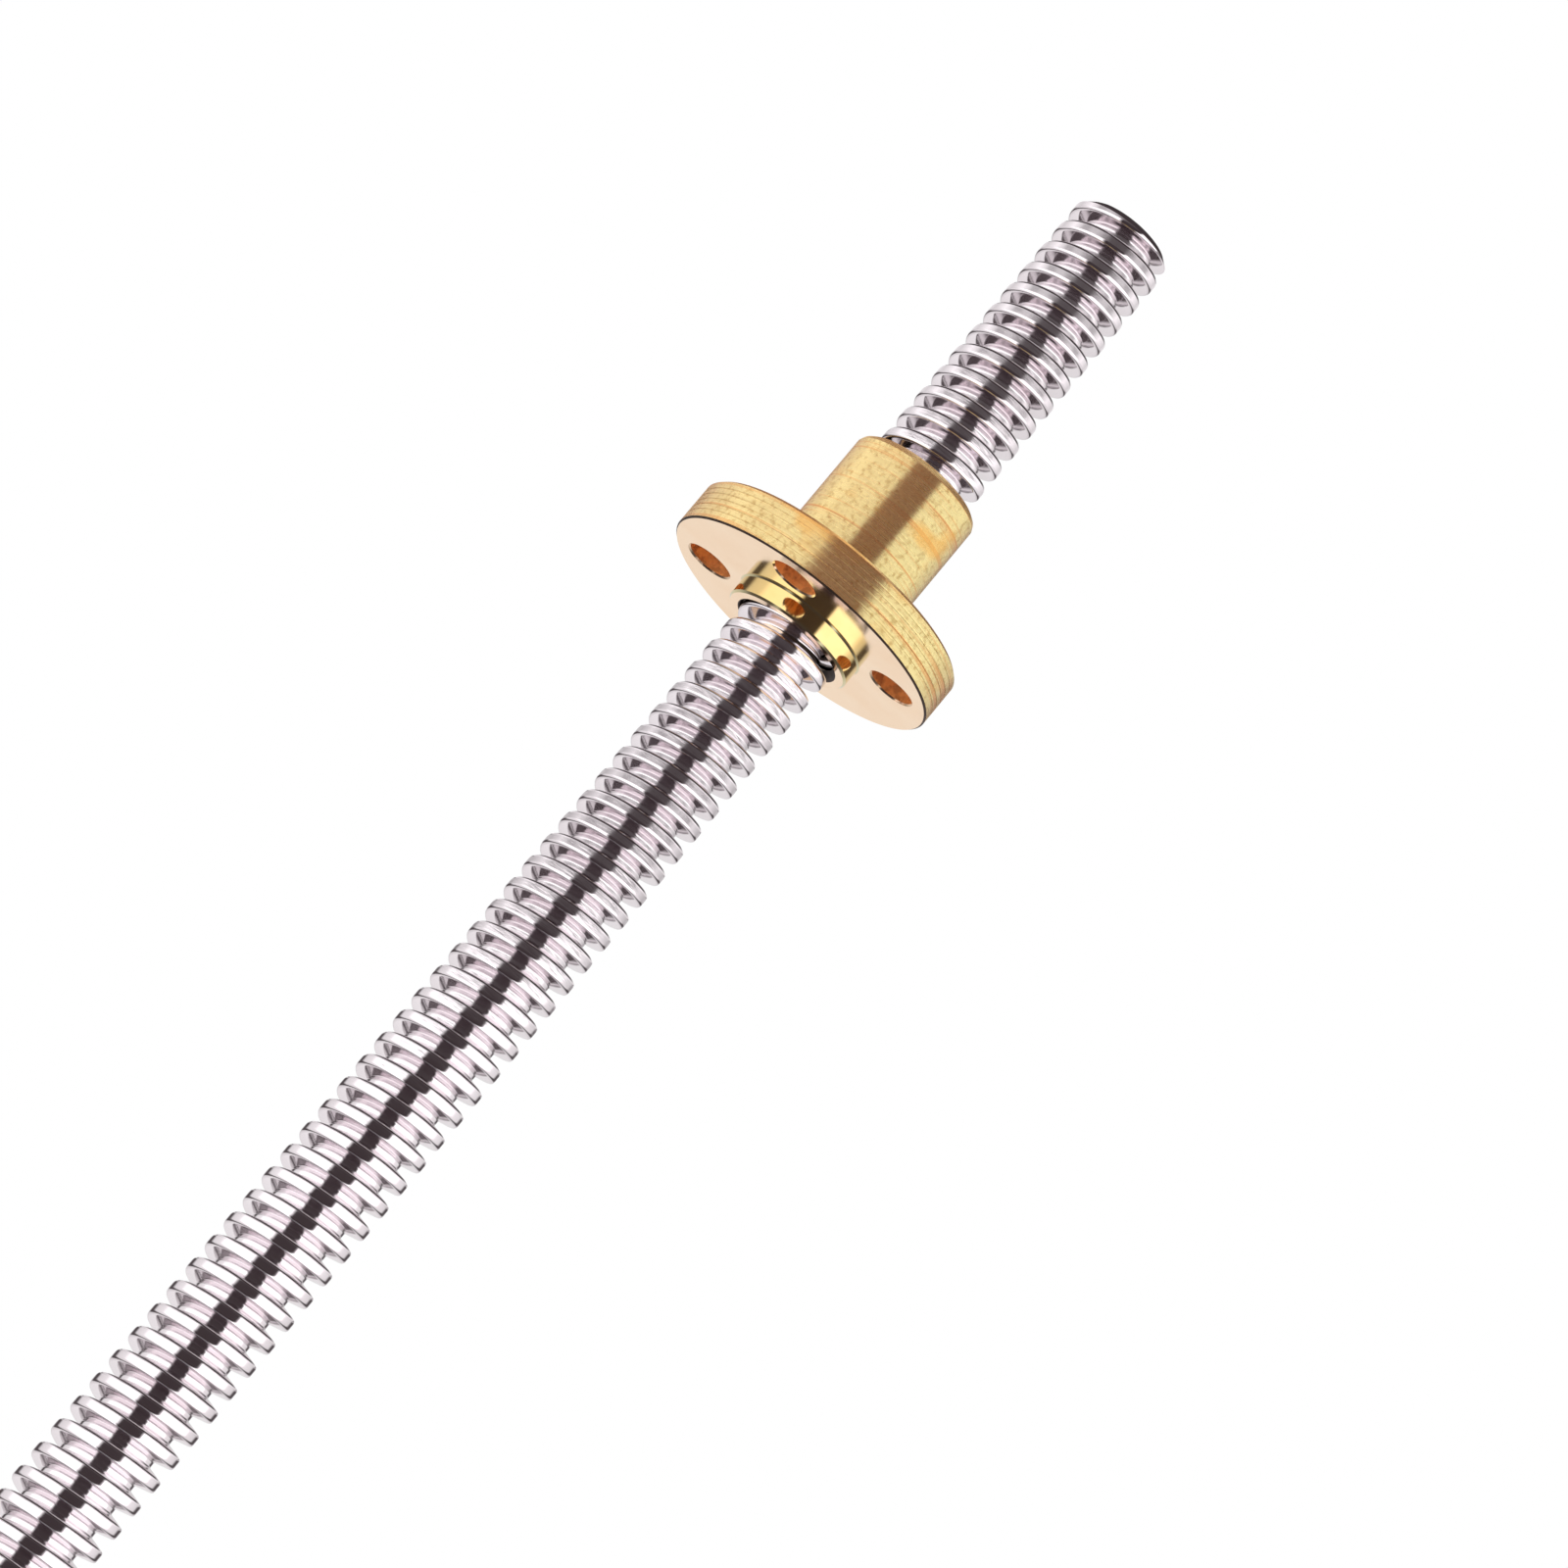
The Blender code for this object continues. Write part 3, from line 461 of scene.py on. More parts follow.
def polished_brass():
    """The motor side of the nut, which is faced smooth enough to mirror its boss."""
    shader = Shader("faced_brass")
    shader.set(Metallic=1.0)
    cloud = shader.noise(220, 3.0)
    colour = shader.ramp(cloud, (0.3, (0.92, 0.67, 0.42)), (0.7, (0.95, 0.74, 0.50)))
    roughness = shader.spread(shader.noise(900, 2.0), 0.08, 0.16)
    normal = shader.bump(cloud, 0.01 * MM)
    return shader.finish(colour, roughness, normal)


def boss_brass():
    """The boss's side, turned bright."""
    shader = Shader("boss_brass")
    shader.set(Metallic=1.0)
    colour = shader.ramp(shader.noise(500, 2.0), (0.3, (0.90, 0.80, 0.44)), (0.7, (0.96, 0.88, 0.52)))
    roughness = shader.spread(shader.noise(700, 2.0, (0.1, 0.1, 3)), 0.06, 0.12)
    return shader.finish(colour, roughness)


def bore_brass():
    """Drilled holes: redder brass with coarse tool marks."""
    shader = Shader("bore_brass")
    shader.set(Metallic=1.0)
    colour = shader.ramp(shader.noise(1200, 3.0), (0.40, (0.22, 0.05, 0.02)), (0.56, (1.0, 0.62, 0.25)))
    roughness = shader.spread(shader.noise(600, 2.0), 0.30, 0.45)
    return shader.tarnished(shader.finish(colour, roughness), (1.0, 0.40, 0.13), 0.38)


def painted_shade_brass():
    """Painted shade: near-black brass laid on the nut's thread and bore mouths, where the bore is in
    shade, and on the flange's lower outer edge.
    """
    shader = Shader("painted_shade_brass")
    shader.set(Metallic=0.6)
    colour = shader.ramp(shader.noise(1500, 3.0), (0.3, (0.04, 0.025, 0.02)), (0.7, (0.10, 0.06, 0.04)))
    roughness = shader.spread(shader.noise(700, 2.0), 0.35, 0.55)
    return shader.finish(colour, roughness)


def grained_metal(name):
    """A metal with patches of two tones and one fine grain in its gloss and surface."""
    dark, light, rough, grain, stretch, depth = METALS[name]
    shader = Shader(name)
    shader.set(Metallic=1.0)
    marks = shader.noise(grain, 4.0, stretch)
    colour = shader.ramp(shader.noise(grain / 4, 2.0), (0.3, dark), (0.7, light))
    return shader.finish(colour, shader.spread(marks, *rough), shader.bump(marks, depth * MM))


def moulded(name):
    """Plastic or resin with a faint grained skin."""
    dark, light, rough = PLASTICS[name]
    shader = Shader(name)
    skin = shader.noise(2500, 2.0)
    colour = shader.ramp(shader.noise(150, 3.0), (0.3, dark), (0.7, light))
    return shader.finish(colour, shader.spread(skin, *rough), shader.bump(skin, 0.006 * MM))


def enamelled_wire():
    """Copper under brown-red enamel, each turn of wire a rib at its own distance from the axis."""
    shader = Shader("enamelled_wire")
    shader.set(Metallic=0.7, Coat_Weight=0.4)
    ribs = shader.ribs((1, 1, 0), 0.3 * MM)
    tone = shader.ramp(shader.noise(400, 2.0), (0.3, (0.50, 0.15, 0.05)), (0.7, (0.66, 0.24, 0.09)))
    colour = shader.blend(shader.ramp(ribs, (0.0, 0.6), (0.35, 0.0)), tone, (0.16, 0.04, 0.015))
    return shader.finish(colour, normal=shader.bump(ribs, 0.06 * MM))


def stacked_sheet():
    """The rotor cups' punched sheet steel, the joints between sheets showing as fine lines."""
    shader = Shader("stacked_sheet")
    shader.set(Metallic=1.0)
    ribs = shader.ribs((0, 0, 1), SHEET * MM)
    tone = shader.ramp(shader.noise(500, 3.0), (0.3, (0.30, 0.31, 0.33)), (0.7, (0.40, 0.41, 0.43)))
    colour = shader.blend(shader.ramp(ribs, (0.0, 0.5), (0.3, 0.0)), tone, (0.12, 0.12, 0.13))
    roughness = shader.spread(shader.noise(900), 0.28, 0.42)
    return shader.finish(colour, roughness, shader.bump(ribs, 0.02 * MM))


def named(pattern, count):
    return [pattern.format(number + 1) for number in range(count)]


def finish_nodes(material, *names):
    """Give CAD nodes that are still shown this material."""
    for name in names:
        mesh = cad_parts[name].data
        mesh.materials.clear()
        mesh.materials.append(material)


def finish_inside():
    """The motor's inner pieces, which show as the frame drew them."""
    ends = ("front", "rear")
    balls = named("front_ball_{}", 7) + named("rear_ball_{}", 7)
    races = [f"{end}_{race}_race" for end in ends for race in ("outer", "inner")]
    shields = [f"{end}_bearing_{side}_shield" for end in ends for side in ends]
    brass_pieces = [f"{end}_{piece}" for end in ends for piece in ("spacer", "ball_cage")]
    finish_nodes(grained_metal("bearing_steel"), *races, *balls)
    finish_nodes(grained_metal("bushing_brass"), *brass_pieces)
    finish_nodes(grained_metal("pressed_steel"), *shields, "wave_washer")
    finish_nodes(grained_metal("sintered_magnet"), "ring_magnet")
    finish_nodes(stacked_sheet(), "front_rotor_cup", "rear_rotor_cup")
    finish_nodes(enamelled_wire(), *named("coil_{}", POLES))
    finish_nodes(moulded("bobbin_plastic"), "front_insulator", "rear_insulator")
    finish_nodes(moulded("board_resin"), "terminal_board")


def dress(obj, node, slot, body, *materials):
    """Give a finished piece its materials, and let it stand for this CAD node."""
    obj.data.materials.clear()
    for material in materials:
        obj.data.materials.append(material)
    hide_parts(node)
    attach(obj, body)


# Screw and nut


def build_screw():
    """The threaded rod, with its collar and the plain journal that carries the rotor."""
    levels = thread_levels(PITCH, ROOT, CREST, ROOT_HALF, CREST_HALF, THREAD_FILLETS)
    bm = bmesh.new()
    add_helicoid(bm, levels, PITCH, THREAD_START - 2, TIP_Z + 2, THREAD_SEGMENTS)
    screw = make_object("lead_screw_fine", bm)

    clear = 0.4
    limits = [
        (CREST + clear, THREAD_START),
        (CREST + clear, TIP_Z - TIP_CHAMFER - clear),
        (CREST - TIP_CHAMFER, TIP_Z - 0.05),
        (CREST - TIP_CHAMFER - 0.15, TIP_Z),
    ]
    shoulder = FACE_Z - SHOULDER
    journal_end = SCREW_LOW.z
    shaft = [
        (JOURNAL_RADIUS - 0.4, journal_end),
        (JOURNAL_RADIUS, journal_end + 0.4),
        (JOURNAL_RADIUS, shoulder),
        (COLLAR_RADIUS - 0.25, shoulder),
        (COLLAR_RADIUS, shoulder + 0.25),
        (COLLAR_RADIUS, THREAD_START + 0.6),
        (ROOT - 0.4, THREAD_START + 1.9),
    ]
    ends = turned_block(limits, 90, start=0.01)
    carve(screw, ((ends, "INTERSECT"), (turned_block(shaft, 96, start=0.02), "UNION")))
    dress(screw, "lead_screw", "screw_steel", "rotor", polished_steel())


def nut_profile():
    """The nut's turned outline, with its edges broken and tool marks round the rim."""
    boss = NUT_LOW.z
    barrel_end = NUT_HIGH.z
    path = [(BARREL_RADIUS - 0.15, boss), (BARREL_RADIUS, boss + 0.15)]
    path += [(BARREL_RADIUS, FLANGE_Z - 0.12), (BARREL_RADIUS + 0.12, FLANGE_Z)]
    path += [(FLANGE_RADIUS - LOWER_EDGE, FLANGE_Z), (FLANGE_RADIUS, FLANGE_Z + LOWER_EDGE)]
    marks = 6
    span = FLANGE_LENGTH - 0.6
    for i in range(1, marks):
        z = FLANGE_Z + 0.3 + span * i / marks
        path += [(FLANGE_RADIUS, z - 0.05), (FLANGE_RADIUS - 0.025, z), (FLANGE_RADIUS, z + 0.05)]
    path += [(FLANGE_RADIUS, FLANGE_END - 0.22), (FLANGE_RADIUS - 0.22, FLANGE_END)]
    path += [(BARREL_RADIUS + 0.15, FLANGE_END), (BARREL_RADIUS, FLANGE_END + 0.15)]
    path += [(BARREL_RADIUS, barrel_end - 0.5), (BARREL_RADIUS - 0.12, barrel_end - 0.22)]
    path += [(BARREL_RADIUS - 0.4, barrel_end)]
    return path


def build_nut():
    bm = bmesh.new()
    turned_solid(bm, nut_profile(), 160)
    nut = make_object("flanged_nut_fine", bm, sharp=20)

    bore = bmesh.new()
    levels = thread_levels(PITCH, NUT_ROOT, NUT_CREST, 0.86, 0.52, (0.06, 0.06))
    add_helicoid(bore, levels, PITCH, NUT_LOW.z - 3, NUT_HIGH.z + 3, 60)

    mouths = bmesh.new()
    for z, outward in ((NUT_LOW.z, -1), (NUT_HIGH.z, 1)):
        ends = [(4.3, z + outward * 0.3), (4.3, z), (3.6, z - outward * 0.5)]
        turned_solid(mouths, ends[::-1], 80, start=0.013)

    edge = 0.12
    wide, plain = NUT_HOLE_RADIUS + edge, NUT_HOLE_RADIUS
    hole = [(wide, FLANGE_Z - 0.5), (wide, FLANGE_Z), (plain, FLANGE_Z + edge)]
    hole += [(plain, FLANGE_END - edge), (wide, FLANGE_END), (wide, FLANGE_END + 0.5)]
    holes = turned_holes(NUT_HOLES, hole, 40, start=0.02)
    carve(nut, ((bore, "DIFFERENCE"), (mouths, "DIFFERENCE"), (holes, "DIFFERENCE")), sharp=20)

    brasses = (turned_brass(), polished_brass(), bore_brass(), boss_brass(), painted_shade_brass())
    dress(nut, "flanged_nut", "nut_brass", "nut", *brasses)
    paint_nut(nut.data)


def paint_nut(mesh):
    """Share out the brasses, in build_nut's order, by where each face lies."""
    turned, polished, drilled, boss, painted_shade = range(5)
    for face in mesh.polygons:
        x, y, z = face.center / MM
        radius = math.hypot(x, y)
        upright = abs(face.normal.z)
        if min(math.dist((x, y), place) for place in NUT_HOLES) < NUT_HOLE_RADIUS + 0.1 and upright < 0.5:
            face.material_index = drilled
        # the thread and the bore's mouths take the near-black brass: painted shade inside the bore
        elif radius < NUT_CREST + 0.4 and upright < 0.98:
            face.material_index = painted_shade
        elif z < FLANGE_Z and upright < 0.8:
            face.material_index = boss
        elif z < FLANGE_Z + LOWER_EDGE:
            # the flange's lower outer edge takes the near-black brass too: a painted dark reflection
            # along the rim
            face.material_index = polished if radius < FLANGE_RADIUS - LOWER_EDGE else painted_shade
        else:
            face.material_index = turned


# Motor


def square_outline(inset):
    """The motor's square with cut corners, every side moved in by the inset, corners softened."""
    half = FRAME_HALF - inset
    cut = CORNER_CUT - inset * (2 - math.sqrt(2))
    flat = half - cut
    points = []
    for quarter in range(4):
        turn = Matrix.Rotation(quarter * TAU / 4, 2)
        points += [tuple(turn @ Vector(point)) for point in ((half, -flat), (half, flat))]
    ring = [points[-1]] + points + [points[0]]
    return rounded(ring, [0.7] * len(points), guard=0.1)[1:-1]


def stacked(bm, outline, levels):
    """A prism through (inset, z) levels, with outline(inset) giving the section."""
    rings = [[bm.verts.new((x, y, z)) for x, y in outline(inset)] for inset, z in levels]
    skin(bm, rings)
    close_ends(bm, rings)


def turned_ring(inner, outer, low, high, segments):
    """A flat-sided ring about Z."""
    bm = bmesh.new()
    corners = ((inner, low), (outer, low), (outer, high), (inner, high))
    rings = [circle_of(bm, radius, z, segments) for radius, z in corners]
    skin(bm, rings + rings[:1])
    return bm


def screw_holes(profile, segments=32):
    """The same turned shape at each of the four motor screws."""
    return turned_holes(HOLE_PLACES, profile, segments, start=0.03)


def soft_box(low, high, edge):
    """A box with its edges bevelled."""
    bm = bmesh.new()
    size = Vector(high) - Vector(low)
    middle = (Vector(high) + Vector(low)) / 2
    place = Matrix.Translation(middle) @ Matrix.Diagonal((*size, 1))
    bmesh.ops.create_cube(bm, size=1, matrix=place)
    bmesh.ops.bevel(bm, geom=bm.edges[:], offset=edge, segments=3, profile=0.5, affect="EDGES")
    return bm


def build_front_cap(material):
    bm = bmesh.new()
    low, top = FRONT_CAP_LOW.z, FRONT_CAP_HIGH.z
    stacked(bm, square_outline, [(0.2, low), (0, low + 0.2), (0, FACE_Z - 0.4), (0.4, FACE_Z)])
    cap = make_object("front_end_cap_fine", bm)
    foot = 0.25
    pilot = [(PILOT_RADIUS, FACE_Z - 1), (PILOT_RADIUS, top - 0.35), (PILOT_RADIUS - 0.35, top)]
    relief = turned_ring(PILOT_RADIUS, PILOT_RADIUS + 0.8, FACE_Z - foot, FACE_Z + 1, 120)
    winding = turned_ring(HUB_RADIUS, CAVITY_RADIUS, low - 1, FACE_Z - FRONT_FLOOR, 96)
    hub_end = low + 3.4
    pocket = [
        (HUB_RADIUS + 0.5, low - 1),
        (HUB_RADIUS + 0.5, hub_end),
        (BEARING_POCKET, hub_end),
        (BEARING_POCKET, FACE_Z - SHOULDER),
        (MOUTH_RADIUS, FACE_Z - SHOULDER),
        (MOUTH_RADIUS, top - 0.3),
        (MOUTH_RADIUS + 0.3, top),
        (MOUTH_RADIUS + 0.3, top + 1),
    ]
    mouth = TAPPED_RADIUS + 0.3
    hole = [(TAPPED_RADIUS, low - 1), (TAPPED_RADIUS, FACE_Z - 0.3), (mouth, FACE_Z), (mouth, FACE_Z + 1)]
    cuts = [(turned_block(pilot, 120), "UNION"), (relief, "DIFFERENCE"), (winding, "DIFFERENCE")]
    cuts += [(turned_block(pocket, 96), "DIFFERENCE"), (screw_holes(hole), "DIFFERENCE")]
    carve(cap, cuts)
    dress(cap, "front_end_cap", "cast_aluminium", "motor", material)


def build_rear_cap(material):
    bm = bmesh.new()
    top = REAR_CAP_HIGH.z
    stacked(bm, square_outline, [(0.4, 0), (0, 0.4), (0, top - 0.2), (0.2, top)])
    cap = make_object("rear_end_cap_fine", bm)
    winding = turned_ring(HUB_RADIUS, CAVITY_RADIUS, REAR_FLOOR, top + 1, 96)
    pocket = [(BEARING_POCKET, REAR_POCKET_Z), (BEARING_POCKET, top + 1)]
    socket_low, socket_high = (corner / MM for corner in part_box("connector_housing"))
    gap = 0.3
    low = (socket_low.x - gap, -FRAME_HALF - 2, socket_low.z - gap)
    window = soft_box(low, (socket_high.x + gap, socket_high.y + 2 * gap, top + 2), 0.2)
    hole = [(CLEAR_RADIUS, -1), (CLEAR_RADIUS, top + 1)]
    mouth = RECESS_RADIUS + 0.2
    recess = [(mouth, -1), (mouth, 0), (RECESS_RADIUS, 0.2), (RECESS_RADIUS, RECESS_DEPTH)]
    mark = turned_ring(*REAR_MARK, -1, 0.25, 120)
    cuts = [(winding, "DIFFERENCE"), (turned_block(pocket, 96), "DIFFERENCE"), (window, "DIFFERENCE")]
    cuts += [(screw_holes(hole), "DIFFERENCE"), (screw_holes(recess, 48), "DIFFERENCE")]
    carve(cap, cuts + [(mark, "DIFFERENCE")])
    dress(cap, "rear_end_cap", "cast_aluminium", "motor", material)


def pole_space(low, high):
    """The open space inside the stator: eight necks, each with a shoe of five small teeth."""
    bore, shoe, slot, neck = 13.15, 14.4, 18.3, 2.2
    pitch = TAU / 50
    half_tooth = 0.24
    side = [(slot, -math.asin(neck / slot)), (shoe, -math.asin(neck / shoe))]
    side.append((shoe, -(2 + half_tooth) * pitch))
    teeth = []
    for tooth in range(-2, 3):
        teeth += [(bore, (tooth - half_tooth) * pitch), (bore, (tooth + half_tooth) * pitch)]
        if tooth < 2:
            teeth.append((bore + 0.5, (tooth + 0.5) * pitch))
    other = [(radius, -angle) for radius, angle in side[::-1]]
    arc = [(slot, TAU / POLES * share) for share in (0.35, 0.5, 0.65)]
    outline = []
    for pole in range(POLES):
        middle = TAU * pole / POLES
        outline += [polar(radius, middle + angle) for radius, angle in side + teeth + other + arc]
    bm = bmesh.new()
    stacked(bm, lambda inset: outline, [(0, low), (0, high)])
    return bm


def build_stator(material):
    """The core as separate sheets: a fine groove runs round the stack between each two."""
    low, high = CORE_LOW.z, CORE_HIGH.z
    sheets = round((high - low) / SHEET)
    step = (high - low) / sheets
    groove = 0.06
    levels = []
    for sheet in range(sheets):
        start = low + sheet * step
        levels += [(groove, start), (0, start + groove), (0, start + step - groove)]
    bm = bmesh.new()
    stacked(bm, square_outline, levels + [(groove, high)])
    core = make_object("stator_core_fine", bm, sharp=20)
    hole = [(CLEAR_RADIUS, low - 1), (CLEAR_RADIUS, high + 1)]
    cuts = [(pole_space(low - 1, high + 1), "DIFFERENCE"), (screw_holes(hole), "DIFFERENCE")]
    carve(core, cuts, sharp=20)
    dress(core, "stator_core", "laminations", "motor", material)


def cross_recess(face):
    """A four-armed recess that narrows towards its floor."""
    arms = []
    for quarter in range(4):
        turn = Matrix.Rotation(quarter * TAU / 4, 2)
        arms += [tuple(turn @ Vector(point)) for point in ((1.5, -0.3), (1.5, 0.3), (0.42, 0.42))]

    def section(inset):
        return [(x * (1 - inset), y * (1 - inset)) for x, y in arms]

    bm = bmesh.new()
    stacked(bm, section, [(0, face - 1), (0, face), (0.55, face + 1.1)])
    return bm


def build_motor_screws(material):
    """Pan-head screws with a tapered cross recess and a rolled M3 thread at the far end."""
    low, high = (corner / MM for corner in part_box("motor_screw_1"))
    shank, root, pitch, head_end = 1.45, 1.22, 0.5, 2.3
    thread_low = FRONT_CAP_LOW.z - 1
    bm = bmesh.new()
    levels = thread_levels(pitch, root, shank, 0.2, 0.05, (0.03, 0.02))
    add_helicoid(bm, levels, pitch, thread_low - 1, high.z + 1, 24)
    thread = make_object("motor_screw_thread", bm)
    outside = shank + 0.2
    limits = [(outside, thread_low), (outside, high.z - 0.6), (root - 0.3, high.z)]
    body = [(1.7, low.z), (2.25, low.z + 0.1), (2.6, low.z + 0.42), (HEAD_RADIUS, low.z + 0.8)]
    body += [(HEAD_RADIUS, head_end - 0.1), (HEAD_RADIUS - 0.1, head_end), (shank + 0.1, head_end)]
    body += [(shank, head_end + 0.1), (shank, thread_low + 0.2), (root - 0.1, thread_low + 0.6)]
    cuts = [(turned_block(limits, 40), "INTERSECT"), (turned_block(body, 48), "UNION")]
    carve(thread, cuts + [(cross_recess(low.z), "DIFFERENCE")])
    for index, (x, y) in enumerate(HOLE_PLACES):
        screw = bpy.data.objects.new(f"motor_screw_{index + 1}_fine", thread.data.copy())
        bpy.context.scene.collection.objects.link(screw)
        screw.location = Vector((x, y, 0)) * MM
        dress(screw, f"motor_screw_{index + 1}", "zinc_steel", "motor", material)
    bpy.data.objects.remove(thread, do_unlink=True)


def build_connector(plastic, tin):
    """The socket with keyed upper wall, and its four square pins."""
    low, high = (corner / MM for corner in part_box("connector_housing"))
    wall, back_wall, half_key = 0.9, 1.2, 0.6
    housing = make_object("connector_housing_fine", soft_box(low, high, 0.25))
    inside_low = (low.x + wall, low.y - 2, low.z + wall)
    inside_high = (high.x - wall, high.y - back_wall, high.z - wall)
    cuts = [(soft_box(inside_low, inside_high, 0.15), "DIFFERENCE")]
    for x in (-4.0, 4.0):
        key_low = (x - half_key, low.y - 2, high.z - 2)
        key_high = (x + half_key, low.y + 2.6, high.z + 2)
        cuts.append((soft_box(key_low, key_high, 0.1), "DIFFERENCE"))
    for name in named("connector_pin_{}", 4):
        pin_low, pin_high = (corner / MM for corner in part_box(name))
        half = (pin_high.x - pin_low.x) / 2
        margin = 0.1
        slot_low = (pin_low.x - margin, high.y - 2, pin_high.z - 2 * half - margin)
        slot_high = (pin_high.x + margin, high.y + 1, pin_high.z + margin)
        cuts.append((soft_box(slot_low, slot_high, 0.02), "DIFFERENCE"))
        bm = swept_square(pin_low.x + half, half, pin_path(pin_low, pin_high, half))
        dress(make_object(f"{name}_fine", bm, sharp=40), name, "tinned_pin", "motor", tin)
    carve(housing, cuts)
    dress(housing, "connector_housing", "socket_plastic", "motor", plastic)


def pin_path(low, high, half):
    """A pin's middle line as (y, z, share of full thickness): tapered tip, elbow, foot."""
    elbow = 0.7
    level = high.z - half
    bend = high.y - half - elbow
    path = [(low.y, level, 0.5), (low.y + 0.5, level, 1.0), (bend, level, 1.0)]
    for step in range(1, 7):
        turn = step / 6 * TAU / 4
        path.append((bend + elbow * math.sin(turn), level - elbow * (1 - math.cos(turn)), 1.0))
    return path + [(high.y - half, low.z, 1.0)]


def swept_square(x, half, path):
    """A square bar along an upright path at this x, its long edges bevelled."""
    bm = bmesh.new()
    rings = []
    for k, (y, z, share) in enumerate(path):
        before, after = path[max(k - 1, 0)], path[min(k + 1, len(path) - 1)]
        along = Vector((after[0] - before[0], after[1] - before[1])).normalized()
        ring = []
        for dx, across in ((-1, -1), (1, -1), (1, 1), (-1, 1)):
            reach = across * half * share
            place = (x + dx * half * share, y - along.y * reach, z + along.x * reach)
            ring.append(bm.verts.new(place))
        rings.append(ring)
    skin(bm, rings)
    close_ends(bm, rings)
    ring_of = {vert: k for k, ring in enumerate(rings) for vert in ring}
    lengthways = [edge for edge in bm.edges if len({ring_of[vert] for vert in edge.verts}) == 2]
    bmesh.ops.bevel(bm, geom=lengthways, offset=0.05, segments=2, profile=0.5, affect="EDGES")
    return bm


# Studio


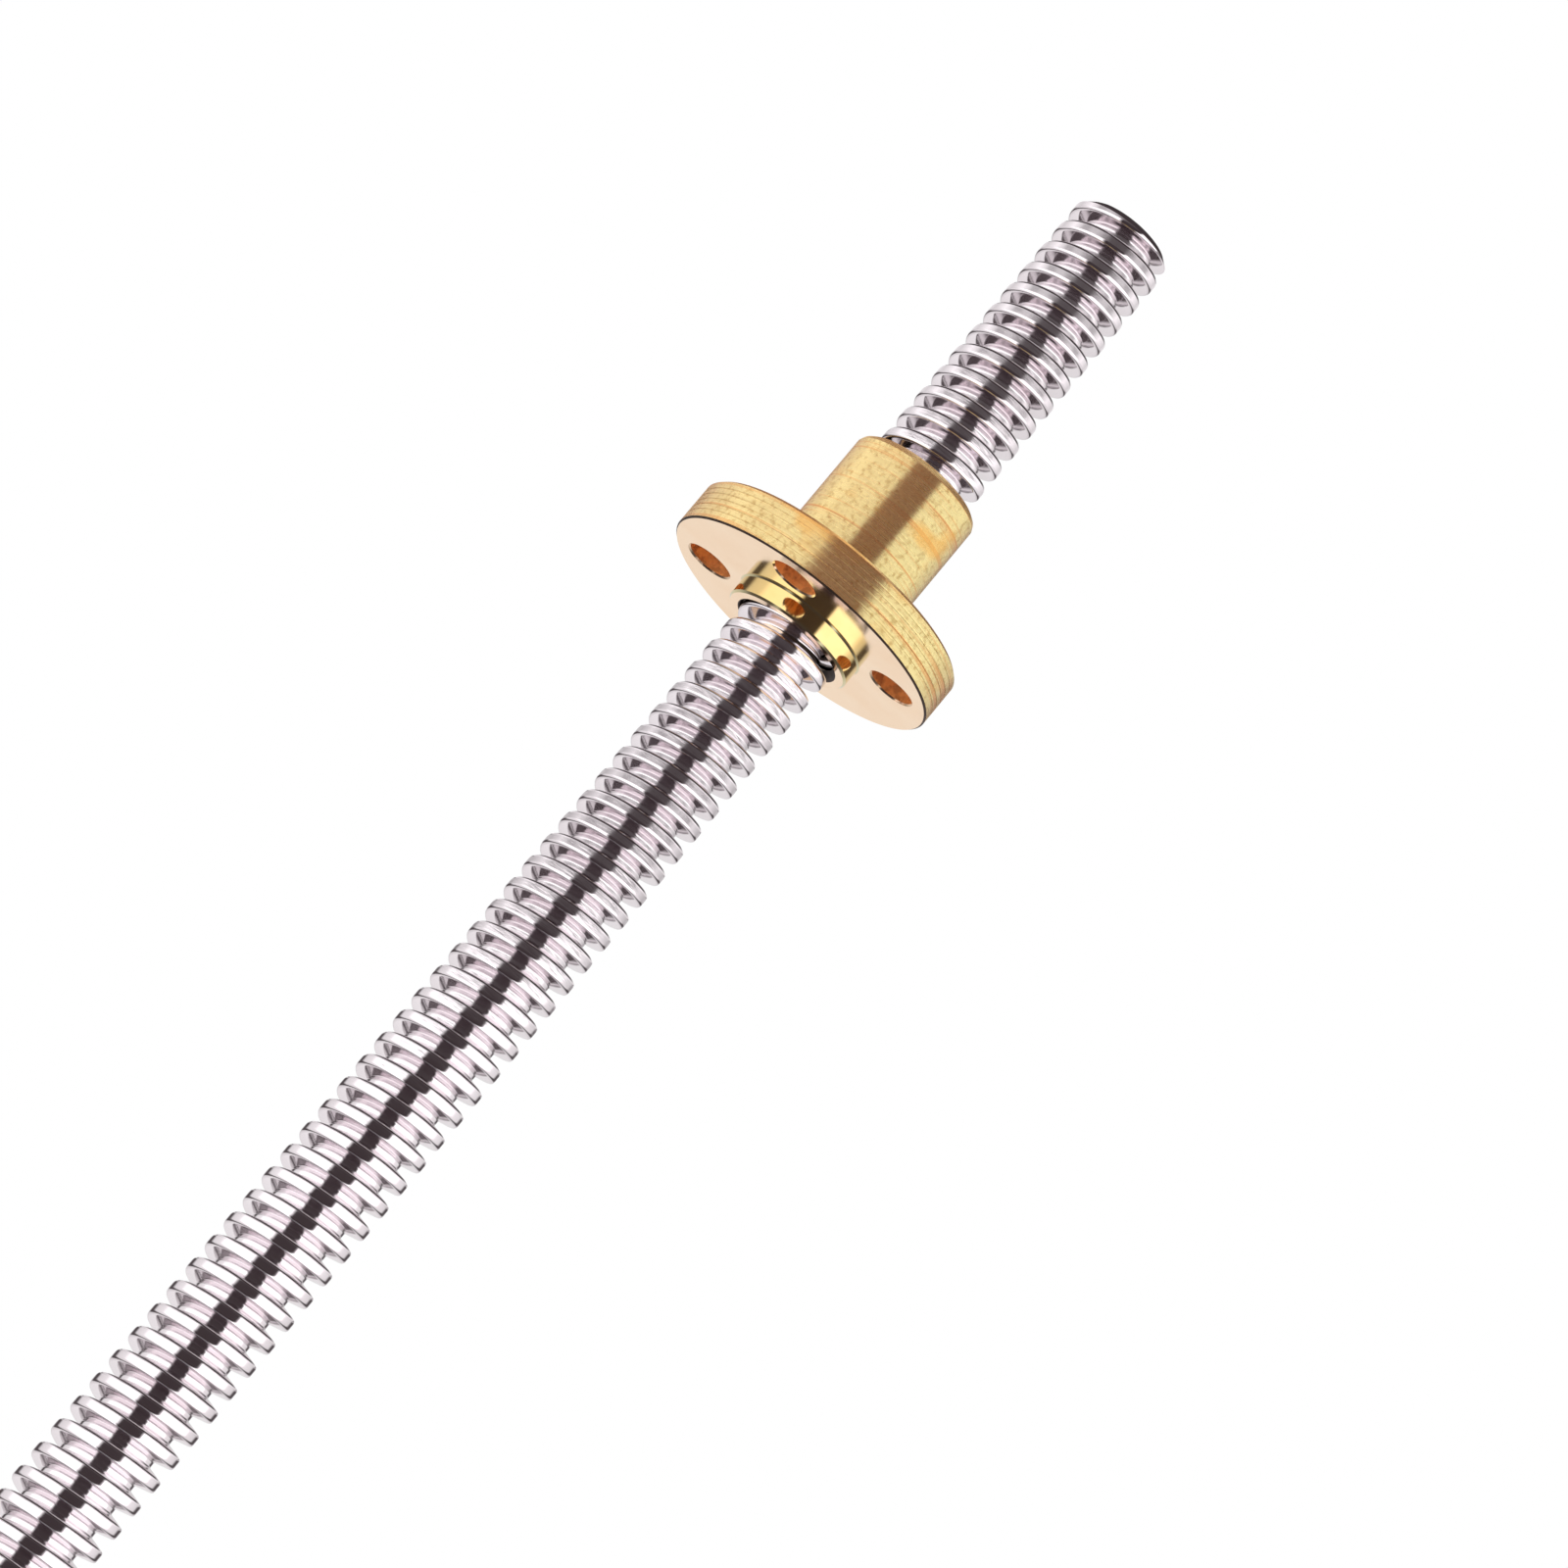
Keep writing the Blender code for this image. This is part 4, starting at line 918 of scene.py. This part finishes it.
def build_world():
    """A bright belt round the horizon with one dark gap, where the camera stands."""
    world = bpy.data.worlds.new("studio")
    bpy.context.scene.world = world
    world.use_nodes = True
    tree = world.node_tree
    tree.nodes.clear()

    def node(kind, *values, **settings):
        made = tree.nodes.new("ShaderNode" + kind)
        for key, value in settings.items():
            setattr(made, key, value)
        for socket, value in zip(made.inputs, values):
            if isinstance(value, bpy.types.NodeSocket):
                tree.links.new(value, socket)
            else:
                socket.default_value = value
        return made

    def maths(operation, *values):
        return node("Math", *values, operation=operation).outputs[0]

    def smooth(value, low, high, start=0.0, end=1.0):
        made = node("MapRange", value, low, high, start, end, interpolation_type="SMOOTHSTEP")
        return made.outputs[0]

    direction = node("SeparateXYZ", node("TexCoord").outputs["Generated"])
    x, y, z = direction.outputs
    flat = maths("SQRT", maths("ADD", maths("MULTIPLY", x, x), maths("MULTIPLY", y, y)))
    flat = maths("MAXIMUM", flat, 0.001)
    toward = maths("MULTIPLY", x, math.cos(CAMERA_BEARING))
    toward = maths("ADD", toward, maths("MULTIPLY", y, math.sin(CAMERA_BEARING)))
    cosine = maths("MINIMUM", maths("MAXIMUM", maths("DIVIDE", toward, flat), -1.0), 1.0)
    bearing = maths("DEGREES", maths("ARCCOSINE", cosine))
    height = maths("DEGREES", maths("ARCSINE", z))

    def profile(value, stops):
        """A brightness that follows these (value, brightness) stops, from low to high."""
        low, high = stops[0][0], stops[-1][0]
        made = node("ValToRGB", node("MapRange", value, low, high).outputs[0])
        elements = made.color_ramp.elements
        for where, brightness in stops[1:-1]:
            elements.new((where - low) / (high - low))
        for element, (where, brightness) in zip(elements, stops):
            element.color = (brightness, brightness, brightness, 1.0)
        return made.outputs["Color"]

    # most of the belt has a crisp narrow gap, a little wider on the camera's right, is brighter on
    # that side, and dims towards a slanted dark edge at the back
    across = maths("MULTIPLY", x, -math.sin(CAMERA_BEARING))
    across = maths("ADD", across, maths("MULTIPLY", y, math.cos(CAMERA_BEARING)))
    leaning = maths("ADD", bearing, smooth(across, -0.1, 0.1, 3.0, -3.0))
    from_edge = maths("SUBTRACT", bearing, maths("MULTIPLY_ADD", height, 0.9, 148.0))
    right = maths("MULTIPLY", smooth(across, -0.5, 0.5), smooth(bearing, 80, 110, 1.0, 0.0))
    brighter_right = maths("MULTIPLY_ADD", right, 0.85, 0.88)
    main_belt = maths("MULTIPLY", smooth(leaning, 22, 31), profile(from_edge, BACK_EDGE))
    main_belt = maths("MULTIPLY", main_belt, brighter_right)

    # two windows of heights have a wide soft gap with a dark panel beside it
    high_belt = profile(leaning, HIGH_BELT)
    glow = main_belt
    for rise, fall, strength in (UPPER_WINDOW, LOWER_WINDOW):
        window = maths("MULTIPLY", smooth(height, *rise), smooth(height, *fall, 1.0, 0.0))
        change = maths("SUBTRACT", maths("MULTIPLY", high_belt, strength), main_belt)
        glow = maths("MULTIPLY_ADD", window, change, glow)

    ends = maths("MULTIPLY", smooth(height, -66, -60), smooth(height, 23, 34, 1.0, 0.0))
    glow = maths("MAXIMUM", maths("MULTIPLY", glow, ends), smooth(height, 66, 80, 0.0, 0.9))

    shade = node("Mix", glow, data_type="RGBA")
    shade.inputs[6].default_value = (*DARK_TENT, 1.0)
    shade.inputs[7].default_value = (*LIGHT_TENT, 1.0)
    lit = node("Background", shade.outputs[2])
    seen = node("Background", (1.0, 1.0, 1.0, 1.0))
    camera_ray = node("LightPath").outputs["Is Camera Ray"]
    pick = node("MixShader", camera_ray, lit.outputs[0], seen.outputs[0])
    node("OutputWorld", pick.outputs[0])
    bpy.context.scene.view_settings.view_transform = "Standard"


def build_floor():
    bm = bmesh.new()
    bmesh.ops.create_circle(bm, cap_ends=True, segments=96, radius=1500)
    floor = make_object("floor", bm)
    floor.location.z = -0.05 * MM
    shader = Shader("floor_paper")
    shader.set(Roughness=0.9)
    colour = shader.ramp(shader.noise(40, 2.0), (0.3, (0.90, 0.90, 0.895)), (0.7, (0.92, 0.92, 0.915)))
    floor.data.materials.append(shader.finish(colour))
    floor.visible_glossy = False


def build_lights():
    """One large soft light from above, kept out of the reflections that the tent gives."""
    data = bpy.data.lights.new("soft_key", "AREA")
    data.shape = "DISK"
    data.size = 0.6
    data.energy = 6.0
    light = bpy.data.objects.new("soft_key", data)
    light.location = (-0.35, -0.45, 0.75)
    light.rotation_euler = (Vector((0, 0, 0.08)) - light.location).to_track_quat("-Z", "Y").to_euler()
    light.visible_glossy = False
    bpy.context.scene.collection.objects.link(light)


def build_camera():
    """The photograph's view: from below the nut, looking up along a leaning screw."""
    data = bpy.data.cameras.new("shot")
    data.lens = CAMERA_LENS
    data.clip_start = 0.01
    data.clip_end = 10
    camera = bpy.data.objects.new("shot", data)
    bpy.context.scene.collection.objects.link(camera)
    x, y = polar(CAMERA_REACH, CAMERA_BEARING)
    turn = Matrix.Rotation(CAMERA_HEADING - TAU / 4, 4, "Z")
    tilt = Matrix.Rotation(TAU / 4 + CAMERA_PITCH, 4, "X")
    roll = Matrix.Rotation(CAMERA_ROLL, 4, "Z")
    place = Matrix.Translation(Vector((x, y, FLANGE_Z - CAMERA_DROP)) * MM)
    camera.matrix_world = place @ turn @ tilt @ roll
    bpy.context.scene.camera = camera


build_screw()
build_nut()
aluminium = grained_metal("cast_aluminium")
build_front_cap(aluminium)
build_rear_cap(aluminium)
build_stator(grained_metal("laminations"))
build_motor_screws(grained_metal("zinc_plate"))
build_connector(moulded("socket_plastic"), grained_metal("tin_plate"))
finish_inside()
build_world()
build_floor()
build_lights()
build_camera()
